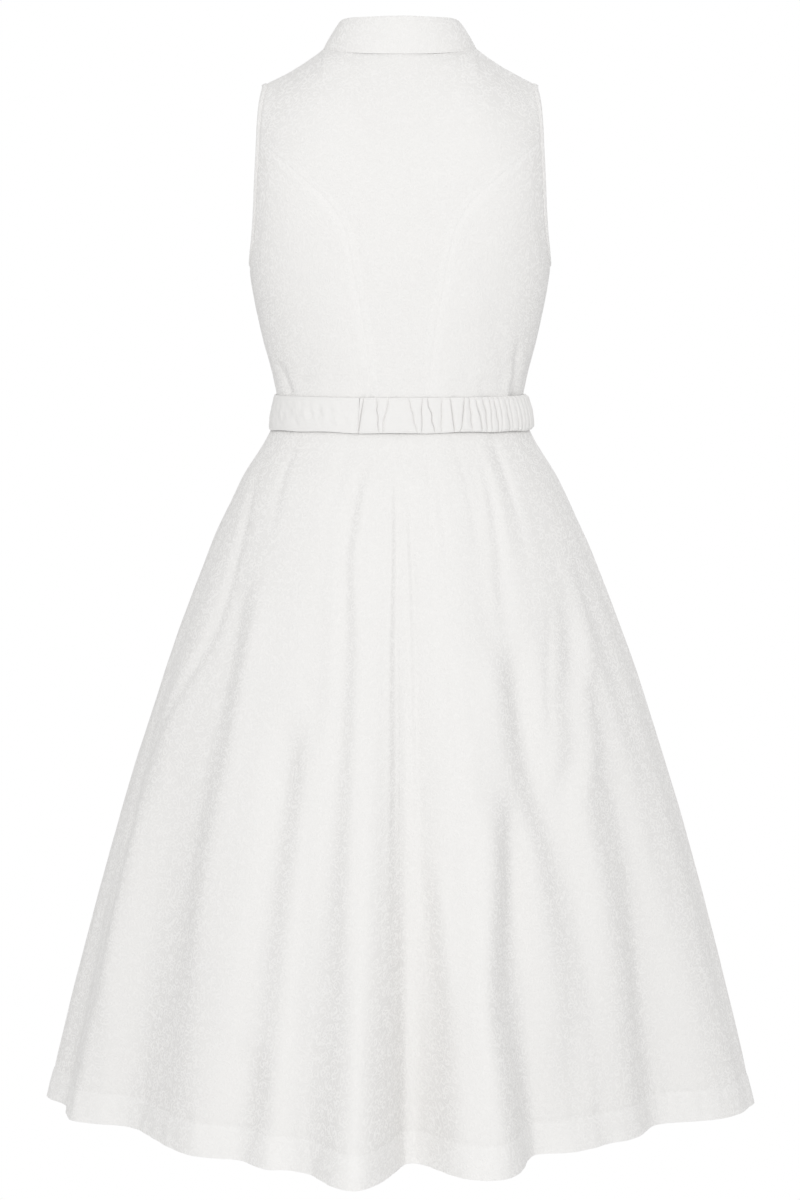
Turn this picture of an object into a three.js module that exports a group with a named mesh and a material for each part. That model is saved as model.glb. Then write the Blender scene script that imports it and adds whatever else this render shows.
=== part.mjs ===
// A sleeveless white dress with a stand collar, a princess-seamed bodice, a part-elastic belt and a flared
// skirt. It keeps the hollow form that it has when worn. Millimetres, +Z up, the wearer's front towards -Y
// and left side towards +X. The origin is the middle of the line through the two shoulder seams, where the
// wearer holds it up. A turn is an angle round the body in degrees: 0 at the centre back, 90 at the left
// side and 180 at the centre front.
import * as THREE from 'three';

// Cloth
const clothWall = 1.6;
const hemWall = 2.6;
const collarWall = 2.4;
const seamGap = 0.3;

// Bodice levels and widths
const waistZ = -369;
const backChestZ = -150;
const frontChestZ = -205;
const underarmZ = -207;
const neckHalf = 83;
const neckPointZ = 19.5;
const shoulderTipX = 149;
const shoulderDrop = 38;
const shoulderHollow = 0.35;
const backNeckDepth = 58;
const frontNeckDepth = 70;
const backNeckZ = 12;
const frontNeckDrop = 70;
const bust = { x: 82, z: -222, reach: 62, push: 9 };

// Armholes: how far the edge stands behind and in front of the shoulder line, and its bound edge
const armholeBack = 50;
const armholeFront = 56;
const bindingWidth = 6;
const bindingProud = 0.4;
const bindingWall = 2.4;

// Collar
const collarBackHeight = 40.5;
const collarSideHeight = 27;
const collarHeightBend = 0.75;
const collarSideLean = 18;
const collarBackLean = 9;
const collarFrontLean = 4;
const collarRows = 3;

// Front closing
const placketHalf = 13;
const buttonCount = 8;
const buttonRadius = 6.5;
const buttonThickness = 3;
const firstButtonDrop = 14;
const lastButtonZ = -336;

// Belt
const beltTopZ = -350;
const beltBottomZ = -387;
const beltWall = 2.4;
const beltTopEase = 0.6;
const beltBottomEase = 1.6;
const beltOverlap = 16;
const beltRows = 3;
const gatherCount = 18;
const gatherPuff = 4;
const gatherLeftTurn = 17;
const gatherRightTurn = -100;

// Skirt
const hemZ = -1134;
const hemDepth = 33;

// Sections of the body form that the bodice lies on, from the waist up to the shoulders
const bodiceSections = [
  { z: -369, halfWidth: 131.5, back: 84, front: 92, square: 2.1 },
  { z: -335, halfWidth: 136.5, back: 88, front: 98, square: 2.15 },
  { z: -291, halfWidth: 148, back: 94, front: 109, square: 2.25 },
  { z: -248, halfWidth: 157, back: 100, front: 119, square: 2.4 },
  { z: -207, halfWidth: 162.5, back: 104, front: 123, square: 2.5 },
  { z: -140, halfWidth: 161.5, back: 107, front: 118, square: 2.9 },
  { z: -70, halfWidth: 159.5, back: 104, front: 106, square: 3.1 },
  { z: 0, halfWidth: 160, back: 97, front: 96, square: 3.1 },
];

// Sections of the skirt without its folds, from the waist seam down to the hem
const skirtSections = [
  { z: -369, halfWidth: 132, back: 84, front: 92, square: 2.1 },
  { z: -400, halfWidth: 146.5, back: 98, front: 107, square: 2.1 },
  { z: -444, halfWidth: 173.5, back: 119, front: 126, square: 2.05 },
  { z: -531, halfWidth: 212, back: 147, front: 150, square: 2 },
  { z: -664, halfWidth: 261, back: 180, front: 180, square: 1.95 },
  { z: -888, halfWidth: 329.5, back: 224, front: 221, square: 1.85 },
  { z: -1134, halfWidth: 392, back: 266, front: 264, square: 1.78 },
];

// Soft folds of the skirt: where each one is, how far it reaches to each side, how far it moves the hem out,
// and how late it grows on the way down
const skirtFolds = [
  { turn: 7.2, reach: 9, push: 82, late: 1.8 },
  { turn: -14.2, reach: 11, push: 53, late: 1.8 },
  { turn: -3, reach: 6, push: -14, late: 1.5 },
  { turn: 14, reach: 6, push: 28, late: 1.7 },
  { turn: 27, reach: 16, push: 22, late: 1.8 },
  { turn: 54, reach: 14, push: -32, late: 1.7 },
  { turn: 79, reach: 11, push: -16, late: 1.8 },
  { turn: -28, reach: 9, push: -22, late: 1.8 },
  { turn: -46, reach: 9, push: 14, late: 1.8 },
  { turn: -52, reach: 22, push: -50, late: 1.8 },
  { turn: 104, reach: 13, push: -18, late: 1.8 },
  { turn: 124, reach: 9, push: 20, late: 1.7 },
  { turn: 143, reach: 10, push: -22, late: 1.8 },
  { turn: 161, reach: 9, push: 42, late: 1.5 },
  { turn: -171, reach: 8, push: 30, late: 1.6 },
  { turn: -152, reach: 10, push: 34, late: 1.5 },
  { turn: -131, reach: 11, push: -26, late: 1.8 },
  { turn: -111, reach: 9, push: 16, late: 1.8 },
];

// Princess seams: half the distance between the pair at each level, up to where they meet the armholes
const backPrincess = [
  { z: -369, x: 32 },
  { z: -310, x: 34 },
  { z: -261, x: 41 },
  { z: -220, x: 49 },
  { z: -174, x: 58 },
  { z: -146, x: 74 },
  { z: -118, x: 104 },
];
const frontPrincess = [
  { z: -369, x: 58 },
  { z: -310, x: 67 },
  { z: -255, x: 80 },
  { z: -215, x: 88 },
  { z: -170, x: 97 },
  { z: -136, x: 114 },
];
const backMeeting = 0.62;
const frontMeeting = 0.6;

// How finely the walls are divided
const seamRows = 12;
const armholeRows = 6;
const sideColumns = 6;
const neckColumns = 4;
const shoulderColumns = 4;
const frontNeckColumns = 5;
const skirtColumns = 28;
const skirtRows = [0, 0.035, 0.08, 0.15, 0.24, 0.35, 0.47, 0.59, 0.71, 0.83];
const normalStep = 0.004;

const radians = THREE.MathUtils.degToRad;
const lerp = THREE.MathUtils.lerp;
const clamp = THREE.MathUtils.clamp;

// A smooth curve through one column of a table of sections, read at level z
function smoothColumn(table, column, z) {
  const rows = table[0].z < table[table.length - 1].z ? table : [...table].reverse();
  let k = 0;
  while (k < rows.length - 2 && z > rows[k + 1].z) k++;
  const slope = (i) => {
    const a = rows[Math.max(i - 1, 0)];
    const b = rows[Math.min(i + 1, rows.length - 1)];
    return (b[column] - a[column]) / (b.z - a.z);
  };
  const span = rows[k + 1].z - rows[k].z;
  const t = clamp((z - rows[k].z) / span, 0, 1);
  const t2 = t * t;
  const t3 = t2 * t;
  return (
    (2 * t3 - 3 * t2 + 1) * rows[k][column] +
    (t3 - 2 * t2 + t) * span * slope(k) +
    (3 * t2 - 2 * t3) * rows[k + 1][column] +
    (t3 - t2) * span * slope(k + 1)
  );
}

// One section of a form at a level: half width, depth behind and in front, and how square its corners are
function sectionAt(table, z) {
  const at = (column) => smoothColumn(table, column, z);
  return { halfWidth: at('halfWidth'), back: at('back'), front: at('front'), square: at('square') };
}

const power = (value, exponent) => Math.sign(value) * Math.abs(value) ** exponent;

// The point of a section at a turn round the body, grown outwards by an ease
function sectionPoint(section, turn, z, ease = 0) {
  const bend = 2 / section.square;
  const cosine = Math.cos(radians(turn));
  const depth = cosine >= 0 ? section.back : section.front;
  return new THREE.Vector3(
    (section.halfWidth + ease) * power(Math.sin(radians(turn)), bend),
    (depth + ease) * power(cosine, bend),
    z,
  );
}

// The turn, from 0 to 90, at which a section is x wide
function turnAtWidth(section, x) {
  const share = clamp(x / section.halfWidth, 0, 1);
  return THREE.MathUtils.radToDeg(Math.asin(share ** (section.square / 2)));
}

// The upper edge of the cloth over a place x from the middle: the neckline, then the shoulder seam
function topEdgeZ(x, front) {
  const share = Math.abs(x) / neckHalf;
  if (share < 1 && front) return neckPointZ - frontNeckDrop * (1 - share * share) ** 0.6;
  if (share < 1) return lerp(backNeckZ, neckPointZ, share ** 3);
  const along = (Math.abs(x) - neckHalf) / (shoulderTipX - neckHalf);
  return neckPointZ - shoulderDrop * (along + shoulderHollow * along * (1 - along));
}

// How far behind or in front of the shoulder line the upper edge lies
function topEdgeDepth(x, front) {
  const share = Math.min(Math.abs(x) / neckHalf, 1);
  return (front ? frontNeckDepth : backNeckDepth) * Math.sqrt(1 - share * share);
}

// A point of one half of the bodice. A rise of 0 is the waist seam, 1 the chest and 2 the neckline and the
// shoulder seam.
function bodicePoint(turn, rise, front) {
  const chestZ = front ? frontChestZ : backChestZ;
  const over = clamp(rise - 1, 0, 1);
  const level = rise <= 1 ? lerp(waistZ, chestZ, rise) : lerp(chestZ, 0, over);
  const point = sectionPoint(sectionAt(bodiceSections, level), turn, level);
  if (over > 0) {
    const neckShare = clamp(Math.abs(point.x) / neckHalf, 0, 1);
    const rounding = lerp(1.6, 2.6, neckShare);
    const closing = (1 - over ** rounding) ** (1 / lerp(1, 2, neckShare * neckShare));
    const edgeDepth = topEdgeDepth(point.x, front) * (front ? -1 : 1);
    point.y = lerp(edgeDepth, point.y, closing);
    point.z = lerp(chestZ, topEdgeZ(point.x, front), over);
  }
  if (front) {
    const away = Math.hypot(Math.abs(point.x) - bust.x, point.z - bust.z) / bust.reach;
    point.y -= bust.push * Math.exp(-away * away) * Math.abs(Math.cos(radians(turn)));
  }
  return point;
}

// The rise of the place that lies x from the middle at level z
function riseAt(x, z, front) {
  const chestZ = front ? frontChestZ : backChestZ;
  if (z <= chestZ) return (z - waistZ) / (chestZ - waistZ);
  return 1 + clamp((z - chestZ) / (topEdgeZ(x, front) - chestZ), 0, 1);
}

// The section that shapes the bodice at a rise
function sectionAtRise(rise, front) {
  const chestZ = front ? frontChestZ : backChestZ;
  return sectionAt(bodiceSections, rise <= 1 ? lerp(waistZ, chestZ, rise) : lerp(chestZ, 0, rise - 1));
}

// Place on the bodice that lies x from the middle at level z, as a turn from the centre line of its half
function placeAtWidth(x, z, front) {
  const rise = riseAt(x, z, front);
  return { turn: turnAtWidth(sectionAtRise(rise, front), x), rise };
}

const pointOfPlace = (place, front) => bodicePoint(front ? 180 - place.turn : place.turn, place.rise, front);

// A place on the armhole line. Along it, 0 is the underarm and 1 the shoulder tip. The inset moves it into
// the panel.
function armholePlace(along, front, inset) {
  const low = underarmZ - inset;
  const tipX = shoulderTipX - inset;
  if (along >= 1) return { turn: turnAtWidth(sectionAtRise(2, front), tipX), rise: 2 };
  const z = lerp(low, topEdgeZ(tipX, front), (1 - Math.cos(Math.PI * along)) / 2);
  const depth = ((front ? armholeFront : armholeBack) + inset) * Math.sin(Math.PI * along) ** 0.85;
  let near = 0;
  let far = 90;
  let place = { turn: far, rise: riseAt(sectionAt(bodiceSections, z).halfWidth, z, front) };
  for (let step = 0; step < 40; step++) {
    const turn = (near + far) / 2;
    let rise = place.rise;
    for (let pass = 0; pass < 3; pass++) {
      const x = Math.abs(pointOfPlace({ turn, rise }, front).x);
      rise = riseAt(x, z, front);
    }
    place = { turn, rise };
    if (Math.abs(pointOfPlace(place, front).y) > depth) near = turn;
    else far = turn;
  }
  return place;
}

// The lowest place of the armhole line, on the side seam
const underarmPlace = (front, inset) => ({ turn: 90, rise: riseAt(0, underarmZ - inset, front) });

// The princess seam of a half as places, from the waist to the armhole
function princessPlaces(table, meeting, front) {
  const meetingPoint = pointOfPlace(armholePlace(meeting, front, bindingWidth), front);
  const corners = table.map((row) => new THREE.Vector3(row.x, 0, row.z));
  corners.push(new THREE.Vector3(Math.abs(meetingPoint.x), 0, meetingPoint.z));
  const line = new THREE.CatmullRomCurve3(corners, false, 'centripetal').getSpacedPoints(seamRows);
  const places = line.map((p) => placeAtWidth(p.x, p.z, front));
  places[seamRows] = armholePlace(meeting, front, bindingWidth);
  return places;
}

// The edge of the centre panel of a half as places: its princess seam, then its part of the armhole
function centreEdge(front) {
  const meeting = front ? frontMeeting : backMeeting;
  const places = princessPlaces(front ? frontPrincess : backPrincess, meeting, front);
  for (let k = 1; k <= armholeRows; k++) {
    places.push(armholePlace(lerp(meeting, 1, k / armholeRows), front, bindingWidth));
  }
  return places;
}

// Turns of the columns of the neckline and shoulder seam, from the centre line to the shoulder tip
function topTurns(front) {
  const section = sectionAtRise(2, front);
  const across = front ? frontNeckColumns : neckColumns;
  const turns = [];
  for (let k = 0; k <= across; k++) {
    turns.push(turnAtWidth(section, neckHalf * Math.sin(((Math.PI / 2) * k) / across)));
  }
  const seamEnd = shoulderTipX - bindingWidth;
  for (let k = 1; k <= shoulderColumns; k++) {
    turns.push(turnAtWidth(section, lerp(neckHalf, seamEnd, k / shoulderColumns)));
  }
  return turns;
}

// Outward normal of a surface at a place, from its neighbours
function normalAt(surface, turn, rise, lowest, highest) {
  const step = 100 * normalStep;
  const along = surface(turn + step, rise).sub(surface(turn - step, rise));
  const up = surface(turn, Math.min(rise + normalStep, highest)).sub(
    surface(turn, Math.max(rise - normalStep, lowest)),
  );
  return up.cross(along).normalize();
}

// A bodice point with its normal, on the left side (1) or right side (-1). The normals of the shoulder seam,
// the side seams and the centre lines stay in the plane of the seam.
function bodiceNode(place, front, side) {
  const turn = side * (front ? 180 - place.turn : place.turn);
  const surface = (atTurn, atRise) => bodicePoint(atTurn, atRise, front);
  const point = surface(turn, place.rise);
  const normal = normalAt(surface, turn, place.rise, 0, 2);
  if (place.rise >= 2 && Math.abs(point.x) >= neckHalf - 0.5) normal.y = 0;
  if (place.turn < 0.01) normal.x = 0;
  if (place.turn > 89.99) normal.y = 0;
  return { point, normal: normal.normalize() };
}

// A closed wall between an outer and an inner grid of points. A loop joins its last column to its first.
function wallMesh(name, material, outer, inner, loop = false) {
  const rows = outer.length;
  const columns = outer[0].length;
  const positions = [];
  const indices = [];
  for (const row of [...outer, ...inner]) {
    for (const p of row) positions.push(p.x, p.y, p.z);
  }
  const at = (side, j, i) => side * rows * columns + j * columns + (i % columns);
  const quad = (a, b, c, d) => indices.push(a, b, c, a, c, d);
  const last = loop ? columns : columns - 1;
  for (let j = 0; j < rows - 1; j++) {
    for (let i = 0; i < last; i++) {
      quad(at(0, j, i), at(0, j, i + 1), at(0, j + 1, i + 1), at(0, j + 1, i));
      quad(at(1, j, i), at(1, j + 1, i), at(1, j + 1, i + 1), at(1, j, i + 1));
    }
    if (!loop) {
      quad(at(0, j, 0), at(0, j + 1, 0), at(1, j + 1, 0), at(1, j, 0));
      quad(at(0, j, last), at(1, j, last), at(1, j + 1, last), at(0, j + 1, last));
    }
  }
  for (let i = 0; i < last; i++) {
    quad(at(0, 0, i), at(1, 0, i), at(1, 0, i + 1), at(0, 0, i + 1));
    quad(at(0, rows - 1, i), at(0, rows - 1, i + 1), at(1, rows - 1, i + 1), at(1, rows - 1, i));
  }
  return closedMesh(name, material, positions, indices);
}

// A mesh from positions and triangles, turned to face outwards
function closedMesh(name, material, positions, indices) {
  let volume = 0;
  const corner = (k) => new THREE.Vector3().fromArray(positions, 3 * indices[k]);
  for (let k = 0; k < indices.length; k += 3) volume += corner(k).dot(corner(k + 1).cross(corner(k + 2)));
  const geometry = new THREE.BufferGeometry();
  geometry.setAttribute('position', new THREE.Float32BufferAttribute(positions, 3));
  geometry.setIndex(volume > 0 ? indices : [...indices].reverse());
  geometry.computeVertexNormals();
  const mesh = new THREE.Mesh(geometry, material);
  mesh.name = name;
  return mesh;
}

// Draws the border of a grid in by half a seam gap, so that neighbours stay a gap apart
function trimmed(grid, sides) {
  const last = grid.length - 1;
  const end = grid[0].length - 1;
  const half = seamGap / 2;
  const inward = (from, to) => to.clone().sub(from).normalize().multiplyScalar(half);
  const moves = [];
  for (let j = 0; j <= last; j++) {
    if (sides.includes('start')) moves.push([j, 0, inward(grid[j][0], grid[j][1])]);
    if (sides.includes('end')) moves.push([j, end, inward(grid[j][end], grid[j][end - 1])]);
  }
  for (let i = 0; i <= end; i++) {
    if (sides.includes('top')) moves.push([last, i, inward(grid[last][i], grid[last - 1][i])]);
    if (sides.includes('bottom')) moves.push([0, i, inward(grid[0][i], grid[1][i])]);
  }
  const moved = grid.map((row) => row.map((p) => p.clone()));
  for (const [j, i, move] of moves) moved[j][i].add(move);
  return moved;
}

// A cloth wall from a grid of points with normals: its outside is moved out, its inside in
function clothWallMesh(name, material, nodes, { out = 0, inside = clothWall, sides, loop = false }) {
  const moved = (distance) =>
    nodes.map((row) => row.map(({ point, normal }) => point.clone().addScaledVector(normal, distance)));
  return wallMesh(name, material, trimmed(moved(out), sides), trimmed(moved(out - inside), sides), loop);
}

const allSides = ['start', 'end', 'top', 'bottom'];
const whiteCloth = new THREE.MeshStandardMaterial({ color: 0xf1f0ee, roughness: 0.62, metalness: 0 });
const beltCloth = new THREE.MeshStandardMaterial({ color: 0xf4f3f2, roughness: 0.5, metalness: 0 });
const shell = new THREE.MeshStandardMaterial({ color: 0xf2efe9, roughness: 0.25, metalness: 0 });

// The turn of column i of a centre panel at one row, between the even spacing of the waist and that of the
// neck
function centreTurn(i, count, edge, rise, tops) {
  const even = (edge * i) / count;
  const shaped = (edge * tops[i]) / tops[count];
  return lerp(even, shaped, clamp(rise - 1, 0, 1));
}

// The panel across the whole back between the princess seams and up to the shoulders
function backPanel() {
  const tops = topTurns(false);
  const count = tops.length - 1;
  const nodes = centreEdge(false).map(({ turn, rise }) => {
    const row = [];
    for (let i = -count; i <= count; i++) {
      const place = { turn: centreTurn(Math.abs(i), count, turn, rise, tops), rise };
      row.push(bodiceNode(place, false, Math.sign(i)));
    }
    return row;
  });
  return clothWallMesh('back_centre', whiteCloth, nodes, { sides: allSides });
}

// Nodes of one front panel, from the centre front to the princess seam. The first column is as wide as the
// placket.
function frontNodes(side) {
  const tops = topTurns(true);
  const count = tops.length - 1;
  return centreEdge(true).map(({ turn, rise }) => {
    const placketTurn = turnAtWidth(sectionAtRise(rise, true), placketHalf);
    const row = [0, placketTurn].map((start) => bodiceNode({ turn: start, rise }, true, side));
    for (let i = 1; i <= count; i++) {
      const spaced = centreTurn(i, count, turn, rise, tops);
      const gap = (placketTurn * (count - i)) / count;
      row.push(bodiceNode({ turn: spaced + gap, rise }, true, side));
    }
    return row;
  });
}

// The side panels: a grid spread between the waist, the princess seam, the side seam and the armhole
function sidePanel(name, side, front) {
  const meeting = front ? frontMeeting : backMeeting;
  const seam = princessPlaces(front ? frontPrincess : backPrincess, meeting, front);
  const lowSeam = seam[0];
  const highSeam = seam[seamRows];
  const lowSide = { turn: 90, rise: 0 };
  const highSide = underarmPlace(front, bindingWidth);
  const rows = seam.map((inner, j) => {
    const v = j / seamRows;
    const row = [];
    for (let i = 0; i <= sideColumns; i++) {
      const u = i / sideColumns;
      const high = i === sideColumns ? highSide : armholePlace(meeting * (1 - u), front, bindingWidth);
      const blend = (key) => {
        const across = lerp(inner[key], lerp(lowSide[key], highSide[key], v), u);
        const upwards = lerp(lerp(lowSeam[key], lowSide[key], u), high[key], v);
        const low = lerp(lowSeam[key], lowSide[key], u);
        return across + upwards - lerp(low, lerp(highSeam[key], highSide[key], u), v);
      };
      row.push(bodiceNode({ turn: blend('turn'), rise: blend('rise') }, front, side));
    }
    return row;
  });
  return clothWallMesh(name, whiteCloth, rows, { sides: allSides });
}

// The bound edge of an armhole, a closed loop that carries on from the edge of the panels
function armholeBinding(name, side) {
  const places = [];
  const add = (along, front) => places.push({ along, front });
  for (let i = sideColumns; i > 0; i--) add(backMeeting * (1 - i / sideColumns), false);
  for (let k = 0; k <= armholeRows; k++) add(lerp(backMeeting, 1, k / armholeRows), false);
  for (let k = armholeRows - 1; k >= 0; k--) add(lerp(frontMeeting, 1, k / armholeRows), true);
  for (let i = 1; i < sideColumns; i++) add(frontMeeting * (1 - i / sideColumns), true);
  const ring = (inset) =>
    places.map(({ along, front }) => {
      const place = along === 0 ? underarmPlace(front, inset) : armholePlace(along, front, inset);
      return bodiceNode(place, front, side);
    });
  const nodes = [ring(bindingWidth), ring(bindingWidth / 2), ring(0)];
  return clothWallMesh(name, whiteCloth, nodes, {
    out: bindingProud,
    inside: bindingWall,
    sides: ['bottom'],
    loop: true,
  });
}

// The stand collar, on the points of the neckline from the right centre front round the back to the left
function collar() {
  const base = [];
  const tops = { back: topTurns(false), front: topTurns(true) };
  for (let k = 0; k <= frontNeckColumns; k++) base.push(bodicePoint(tops.front[k] - 180, 2, true));
  for (let k = neckColumns - 1; k >= -neckColumns; k--) {
    base.push(bodicePoint(-Math.sign(k) * tops.back[Math.abs(k)], 2, false));
  }
  for (let k = frontNeckColumns - 1; k >= 0; k--) base.push(bodicePoint(180 - tops.front[k], 2, true));
  const topOf = (p) => {
    const across = Math.abs(p.x) / neckHalf;
    const behind = p.y > 0 ? p.y / backNeckDepth : 0;
    const ahead = p.y < 0 ? -p.y / frontNeckDepth : 0;
    return new THREE.Vector3(
      p.x - Math.sign(p.x) * collarSideLean * across,
      p.y - collarBackLean * behind + collarFrontLean * ahead,
      p.z + lerp(collarSideHeight, collarBackHeight, behind ** collarHeightBend),
    );
  };
  const nodes = [];
  for (let j = 0; j <= collarRows; j++) {
    nodes.push(base.map((p) => p.clone().lerp(topOf(p), j / collarRows)));
  }
  const withNormals = nodes.map((row, j) =>
    row.map((point, i) => {
      const along = row[Math.min(i + 1, row.length - 1)].clone().sub(row[Math.max(i - 1, 0)]);
      const up = nodes[Math.min(j + 1, collarRows)][i].clone().sub(nodes[Math.max(j - 1, 0)][i]);
      return { point, normal: along.cross(up).normalize() };
    }),
  );
  const outwards = withNormals[0][frontNeckColumns + neckColumns].normal.y > 0 ? 1 : -1;
  for (const row of withNormals) for (const node of row) node.normal.multiplyScalar(outwards);
  for (const row of withNormals) {
    row[0].point.x -= seamGap;
    row[row.length - 1].point.x += seamGap;
  }
  for (const node of withNormals[0]) node.point.z += 2 * seamGap;
  return clothWallMesh('collar', whiteCloth, withNormals, {
    out: -seamGap,
    inside: collarWall,
    sides: ['start', 'end', 'bottom'],
  });
}

// The button placket, on the points of the two fronts and moved out
function placket(left, right) {
  const nodes = left.map((row, j) => [right[j][1], row[0], row[1]]);
  return clothWallMesh('placket', whiteCloth, nodes, {
    out: seamGap + clothWall,
    sides: allSides,
  });
}

// A button turned on its own axis, with a dished face and a rounded rim
function button(name, radius, place, normal) {
  const dish = 0.28 * buttonThickness;
  const profile = [
    [0, 0],
    [0.75 * radius, 0],
    [radius, 0.35 * buttonThickness],
    [radius, 0.7 * buttonThickness],
    [0.86 * radius, buttonThickness],
    [0.66 * radius, buttonThickness - dish],
    [0, buttonThickness - dish],
  ].map(([r, h]) => new THREE.Vector2(r, h));
  const mesh = new THREE.Mesh(new THREE.LatheGeometry(profile, 12), shell);
  mesh.name = name;
  mesh.quaternion.setFromUnitVectors(new THREE.Vector3(0, 1, 0), normal);
  mesh.position.copy(place).addScaledVector(normal, seamGap);
  return mesh;
}

// The row of buttons down the placket
function placketButtons() {
  const group = new THREE.Group();
  const highest = topEdgeZ(0, true) - firstButtonDrop;
  for (let k = 0; k < buttonCount; k++) {
    const z = lerp(highest, lastButtonZ, k / (buttonCount - 1));
    const node = bodiceNode({ turn: 0, rise: riseAt(0, z, true) }, true, 1);
    const face = node.point.addScaledVector(node.normal, 2 * seamGap + clothWall + 0.2);
    group.add(button(`button_${k + 1}`, buttonRadius, face, node.normal));
  }
  return group;
}

// The inside of the belt: straight from its upper edge on the bodice to its lower edge on the skirt
function beltPoint(turn, share, out) {
  const high = sectionAt(bodiceSections, beltTopZ);
  const low = sectionAt(skirtSections, beltBottomZ);
  const section = {};
  for (const key of Object.keys(high)) section[key] = lerp(low[key], high[key], share);
  const ease = lerp(beltBottomEase, beltTopEase, share) + out;
  return sectionPoint(section, turn, lerp(beltBottomZ, beltTopZ, share), ease);
}

// A stretch of belt between two turns. Its outside stands off by a thickness that depends on the place.
function beltBand(name, fromTurn, toTurn, columns, standOff, thickness) {
  const grid = (outside) => {
    const rows = [];
    for (let j = 0; j <= beltRows; j++) {
      const row = [];
      for (let i = 0; i <= columns; i++) {
        const along = i / columns;
        const turn = lerp(fromTurn, toTurn, along);
        const out = standOff(turn) + (outside ? thickness(along, j / beltRows) : 0);
        row.push(beltPoint(turn, j / beltRows, out));
      }
      rows.push(row);
    }
    return trimmed(rows, ['start', 'end']);
  };
  return wallMesh(name, beltCloth, grid(true), grid(false));
}

// The belt: an elastic, gathered stretch over the back and right side, and two plain ends that overlap in
// front
function belt() {
  const group = new THREE.Group();
  const overlapTurn = turnAtWidth(sectionAt(bodiceSections, beltTopZ), beltOverlap);
  const gather = (along, share) => {
    const wave = Math.abs(Math.sin(Math.PI * gatherCount * along)) ** 0.8;
    const edge = Math.sin(Math.PI * lerp(0.12, 0.88, share)) ** 0.6;
    return beltWall + gatherPuff * wave * edge;
  };
  const flat = () => beltWall;
  const rise = THREE.MathUtils.smoothstep;
  const overPlacket = (turn) => (clothWall + 2 * seamGap) * rise(Math.abs(turn), 166, 173);
  const overEnd = (turn) => (beltWall + seamGap) * rise(Math.abs(turn), 150, 165);
  const under = (turn) => overPlacket(Math.min(turn, 180));
  const over = (turn) => overPlacket(turn) + overEnd(turn);
  const none = () => 0;
  group.add(beltBand('belt_gathered', gatherRightTurn, gatherLeftTurn, 4 * gatherCount, none, gather));
  group.add(beltBand('belt_left', gatherLeftTurn, 180 + overlapTurn, 36, under, flat));
  group.add(beltBand('belt_right', gatherRightTurn, -180 - overlapTurn, 22, over, flat));
  const face = beltPoint(180, 0.5, over(180) + beltWall);
  const upwards = beltPoint(180, 1, 0).sub(beltPoint(180, 0, 0));
  const normal = upwards.cross(new THREE.Vector3(-1, 0, 0)).normalize();
  if (normal.y > 0) normal.negate();
  group.add(button('belt_button', 1.2 * buttonRadius, face, normal));
  return group;
}

// How far the folds move the skirt out at a turn, at a share of the way from waist to hem
function foldPush(turn, share) {
  let push = 0;
  for (const fold of skirtFolds) {
    const away = THREE.MathUtils.euclideanModulo(turn - fold.turn + 180, 360) - 180;
    if (Math.abs(away) >= fold.reach) continue;
    push += fold.push * share ** fold.late * Math.cos(((Math.PI / 2) * away) / fold.reach) ** 2;
  }
  return push;
}

// A point of the skirt. A share of 0 is the waist seam and 1 the hem.
function skirtPoint(turn, share) {
  const z = lerp(waistZ - seamGap, hemZ, share);
  const section = sectionAt(skirtSections, z);
  const point = sectionPoint(section, turn, z);
  const depth = Math.cos(radians(turn)) >= 0 ? section.back : section.front;
  const out = new THREE.Vector3(
    power(point.x / section.halfWidth, section.square - 1) / section.halfWidth,
    power(point.y / depth, section.square - 1) / depth,
    0,
  ).normalize();
  return point.addScaledVector(out, foldPush(turn, share));
}

// One of the four skirt panels, from the centre back or front to a side seam. Columns lie closer near the
// centre.
function skirtPanel(name, side, front) {
  const hemShare = 1 - hemDepth / (waistZ - hemZ);
  const shares = [...skirtRows, hemShare, 1].reverse();
  const surface = (turn, share) => skirtPoint(turn, share);
  const wall = (share) => (share >= hemShare ? hemWall : clothWall);
  const outer = [];
  const inner = [];
  for (const share of shares) {
    const outerRow = [];
    const innerRow = [];
    for (let i = 0; i <= skirtColumns; i++) {
      const spread = 90 * (i / skirtColumns) ** 1.35;
      const turn = side * (front ? 180 - spread : spread);
      const point = surface(turn, share);
      const normal = normalAt(surface, turn, share, 0, 1).negate();
      if (i === 0) normal.x = 0;
      if (i === skirtColumns) normal.y = 0;
      if (share === 0) normal.z = 0;
      normal.normalize();
      outerRow.push(point);
      innerRow.push(point.clone().addScaledVector(normal, -wall(share)));
    }
    outer.push(outerRow);
    inner.push(innerRow);
  }
  for (const grid of [outer, inner]) for (const p of grid[0]) p.z = hemZ;
  const top = outer.length - 1;
  for (let i = 0; i <= skirtColumns; i++) inner[top][i].z = outer[top][i].z;
  const sides = ['start', 'end'];
  return wallMesh(name, whiteCloth, trimmed(outer, sides), trimmed(inner, sides));
}

const dress = new THREE.Group();
dress.add(backPanel());
const frontLeft = frontNodes(1);
const frontRight = frontNodes(-1);
dress.add(clothWallMesh('front_left', whiteCloth, frontLeft, { sides: allSides }));
dress.add(clothWallMesh('front_right', whiteCloth, frontRight, { sides: allSides }));
dress.add(placket(frontLeft, frontRight));
dress.add(placketButtons());
dress.add(collar());
for (const [word, side] of [['left', 1], ['right', -1]]) {
  dress.add(sidePanel(`side_back_${word}`, side, false));
  dress.add(sidePanel(`side_front_${word}`, side, true));
  dress.add(armholeBinding(`armhole_binding_${word}`, side));
  dress.add(skirtPanel(`skirt_back_${word}`, side, false));
  dress.add(skirtPanel(`skirt_front_${word}`, side, true));
}
dress.add(belt());

export default dress;
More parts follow.
